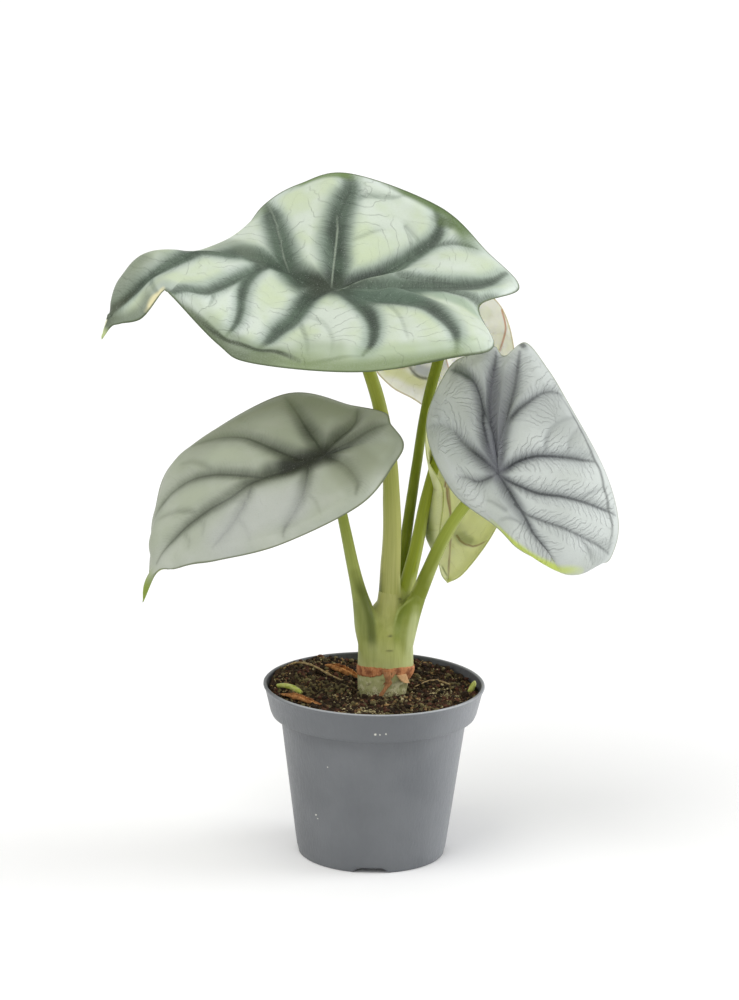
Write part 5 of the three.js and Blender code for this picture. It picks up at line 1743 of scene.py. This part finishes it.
# The dried ring: angle round the stem in degrees (270 faces the viewer), and its lower and upper edge's
# height in millimetres.
RING_EDGES = [
    (0, 100, 105.8), (60, 100, 106), (120, 100.4, 105.8), (165, 101.4, 105.4), (185, 101, 105.8),
    (205, 101.2, 106.6), (225, 101.8, 107.2), (243, 102.2, 107.8), (258, 103.6, 107.8),
    (268, 105.2, 107.6), (278, 105, 107.4), (288, 104.4, 107.8), (300, 103.4, 107.8), (318, 101.2, 107.4),
    (338, 98.8, 106.6), (360, 100, 105.8),
]
# Torn strips that hang from it: how papery they are, and their route as (angle, height, half width,
# distance off the stem).
RING_STRIPS = [
    (0.15, [(271, 106.8, 2.4, 0.5), (273, 104.4, 2, 0.5), (276, 101.8, 1.6, 0.6), (280, 99, 1.9, 0.5),
     (275, 96, 1.2, 0.6), (269, 93.4, 1.3, 0.7), (264, 90.4, 0.9, 0.6)]),
    (0.15, [(288, 106, 1.2, 0.6), (286, 104.6, 1, 0.6), (281, 102.4, 0.9, 0.5), (276, 100.6, 0.7, 0.5),
     (270, 98.6, 0.5, 0.4)]),
    (0.5, [(303, 103.8, 3, 0.6), (308, 101.6, 2.6, 1.6), (313, 99.8, 1.8, 3), (317, 99.2, 0.7, 4)]),
]


class ALOCASIA_OT_dried_ring(bpy.types.Operator):
    """Build the torn dried ring round the foot of the stem"""

    bl_idname = "alocasia.dried_ring"
    bl_label = "Dried ring"

    def execute(self, context):
        points, faces = self.sleeve()
        paper = [0.0] * len(points)
        for papery, route in RING_STRIPS:
            strip_points, strip_faces = self.strip(route)
            faces += shifted(strip_faces, len(points))
            points += strip_points
            paper += [papery] * len(strip_points)
        finish = dried_finish("dried_ring_skin", (172, 108, 66), (204, 146, 100), (108, 62, 38))
        piece = make_mesh("dried_ring_skin", np.array(points) * MM, faces, [finish], facts={"paper": paper})
        place(piece, "dried_leaf_base", "dried_ring")
        return {"FINISHED"}

    def on_stem(self, angle, height, out):
        """A point that lies `out` millimetres off the stem, at an angle in radians."""
        x, y, wide, deep = stem_section(height)
        return x + math.cos(angle) * (wide + out), y + math.sin(angle) * (deep + out), height

    def sleeve(self):
        sides, levels = 260, 8
        turns, lows, highs = np.array(RING_EDGES, float).T
        outer, inner = [], []
        for side in range(sides):
            angle = 2 * math.pi * side / sides
            torn = noise.noise(Vector((math.cos(angle) * 16, math.sin(angle) * 16, 7)))
            low = np.interp(math.degrees(angle), turns, lows) + 0.5 * torn
            high = np.interp(math.degrees(angle), turns, highs) - 0.35 * torn
            for height in np.linspace(low, high, levels):
                crease = 0.16 * noise.noise(Vector((angle * 9, height * 0.9, 4)))
                thin = 0.22 * math.sin(math.pi * (height - low) / (high - low))
                outer.append(self.on_stem(angle, height, 0.28 + thin + crease))
                inner.append(self.on_stem(angle, height, -0.5))
        size = len(outer)
        faces = []
        for side in range(sides):
            here, after = side * levels, (side + 1) % sides * levels
            for level in range(levels - 1):
                faces.append((here + level, after + level, after + level + 1, here + level + 1))
                back, beside = size + here + level, size + after + level
                faces.append((back, back + 1, beside + 1, beside))
            faces.append((here, size + here, size + after, after))
            top = levels - 1
            faces.append((here + top, after + top, size + after + top, size + here + top))
        return outer + inner, faces

    def strip(self, route):
        """A thin torn strip that hangs down over the stem."""
        columns, stem_radius, thickness = 5, 15, 0.35
        line = smooth(route, np.linspace(0, len(route) - 1, 8 * len(route)))
        sheet = []
        for step, (angle, height, half, out) in enumerate(line):
            for side in np.linspace(-1, 1, columns):
                torn = 0.35 * noise.noise(Vector((side * 2, step * 0.7, 3)))
                turn = math.radians(angle) + side * (half + torn) / stem_radius
                lift = out + 0.15 * torn
                front, back = (self.on_stem(turn, height, off) for off in (lift, lift - thickness))
                sheet.append((front, back))
        points = [front for front, _ in sheet] + [back for _, back in sheet]
        return points, [face[::-1] for face in sheet_faces(len(sheet) // columns, columns)]


# ----- stage
def aim(thing, at, target):
    thing.location = at
    thing.rotation_euler = (Vector(target) - Vector(at)).to_track_quat("-Z", "Y").to_euler()


class ALOCASIA_OT_stage(bpy.types.Operator):
    """Set the floor, the light and the camera"""

    bl_idname = "alocasia.stage"
    bl_label = "Stage"

    def execute(self, context):
        settings = settings_of(context).stage
        self.floor(settings)
        self.lights(context.scene)
        self.camera(context.scene, settings)
        return {"FINISHED"}

    def floor(self, settings):
        finish = Finish("plain_floor", Specular_IOR_Level=0.1, Roughness=0.9)
        grain = finish.noise(finish.place(), 0.02, detail=3)
        clouds = finish.step(grain, 0.3, 0.7, 0, 0.04)
        finish.done(finish.mix(clouds, tuple(settings.floor), rgb(238, 238, 238)))
        corners = [(-12, -6, 0), (12, -6, 0), (12, 14, 0), (-12, 14, 0)]
        floor = make_mesh("floor", corners, [(0, 1, 2, 3)], [finish.material])

    def lights(self, scene):
        world = bpy.data.worlds.new("soft_room")
        world.use_nodes = True
        sky = world.node_tree.nodes["Background"]
        sky.inputs["Color"].default_value = (1, 1, 1, 1)
        sky.inputs["Strength"].default_value = 0.66
        scene.world = world
        lamps = [
            ("high_left", (-1.0, -1.0, 2.3), 1.25, 40, (1, 0.99, 0.97)),
            ("right_side", (2.2, 0.3, 0.8), 1.9, 40, (0.97, 0.98, 1)),
            ("left_side", (-2.0, -0.4, 0.8), 0.2, 45, (1, 1, 1)),
            ("front", (0.1, -2.4, 0.6), 0.2, 50, (1, 1, 1)),
        ]
        for name, at, strength, spread, tint in lamps:
            lamp = bpy.data.lights.new(name, "SUN")
            lamp.angle = math.radians(spread)
            lamp.energy = strength
            lamp.color = tint
            source = bpy.data.objects.new(name, lamp)
            scene.collection.objects.link(source)
            aim(source, at, (0, 0, 0.2))
        scene.view_settings.view_transform = "Standard"

    def camera(self, scene, settings):
        """The photograph's view."""
        at, right, up, ahead = viewer_axes()
        lens = bpy.data.cameras.new("viewer")
        lens.lens = settings.lens
        lens.sensor_width = SENSOR_MM
        camera = bpy.data.objects.new("viewer", lens)
        scene.collection.objects.link(camera)
        turn = Matrix((right, up, -ahead)).transposed().to_4x4()
        camera.matrix_world = Matrix.Translation(at * MM) @ turn
        scene.camera = camera


class ALOCASIA_PT_parts(bpy.types.Panel):
    """Lists the plant's parts and their sizes and colours"""

    bl_label = "Potted alocasia"
    bl_idname = "ALOCASIA_PT_parts"
    bl_space_type = "VIEW_3D"
    bl_region_type = "UI"
    bl_category = "Alocasia"

    def draw(self, context):
        settings = settings_of(context)
        for operator in OPERATORS:
            self.layout.operator(operator.bl_idname)
        for name in ("pot", "soil", "stem", "blade", "stage"):
            box = self.layout.box()
            box.label(text=name.capitalize())
            group = getattr(settings, name)
            for key in group.__annotations__:
                box.prop(group, key)


OPERATORS = [
    ALOCASIA_OT_stage,
    ALOCASIA_OT_pot,
    ALOCASIA_OT_soil,
    ALOCASIA_OT_stem,
    ALOCASIA_OT_dried_ring,
    ALOCASIA_OT_leaf_blades,
    ALOCASIA_OT_leaf_stalks,
    ALOCASIA_OT_litter,
]
CLASSES = [
    PotSettings,
    SoilSettings,
    StemSettings,
    BladeSettings,
    StageSettings,
    AlocasiaSettings,
    *OPERATORS,
    ALOCASIA_PT_parts,
]


def register():
    for kind in CLASSES:
        bpy.utils.register_class(kind)
    bpy.types.Scene.alocasia = PointerProperty(type=AlocasiaSettings)


def unregister():
    del bpy.types.Scene.alocasia
    for kind in reversed(CLASSES):
        bpy.utils.unregister_class(kind)


def main():
    register()
    for operator in OPERATORS:
        group, name = operator.bl_idname.split(".")
        getattr(getattr(bpy.ops, group), name)()
    bpy.context.view_layer.update()


if __name__ == "__main__":
    main()
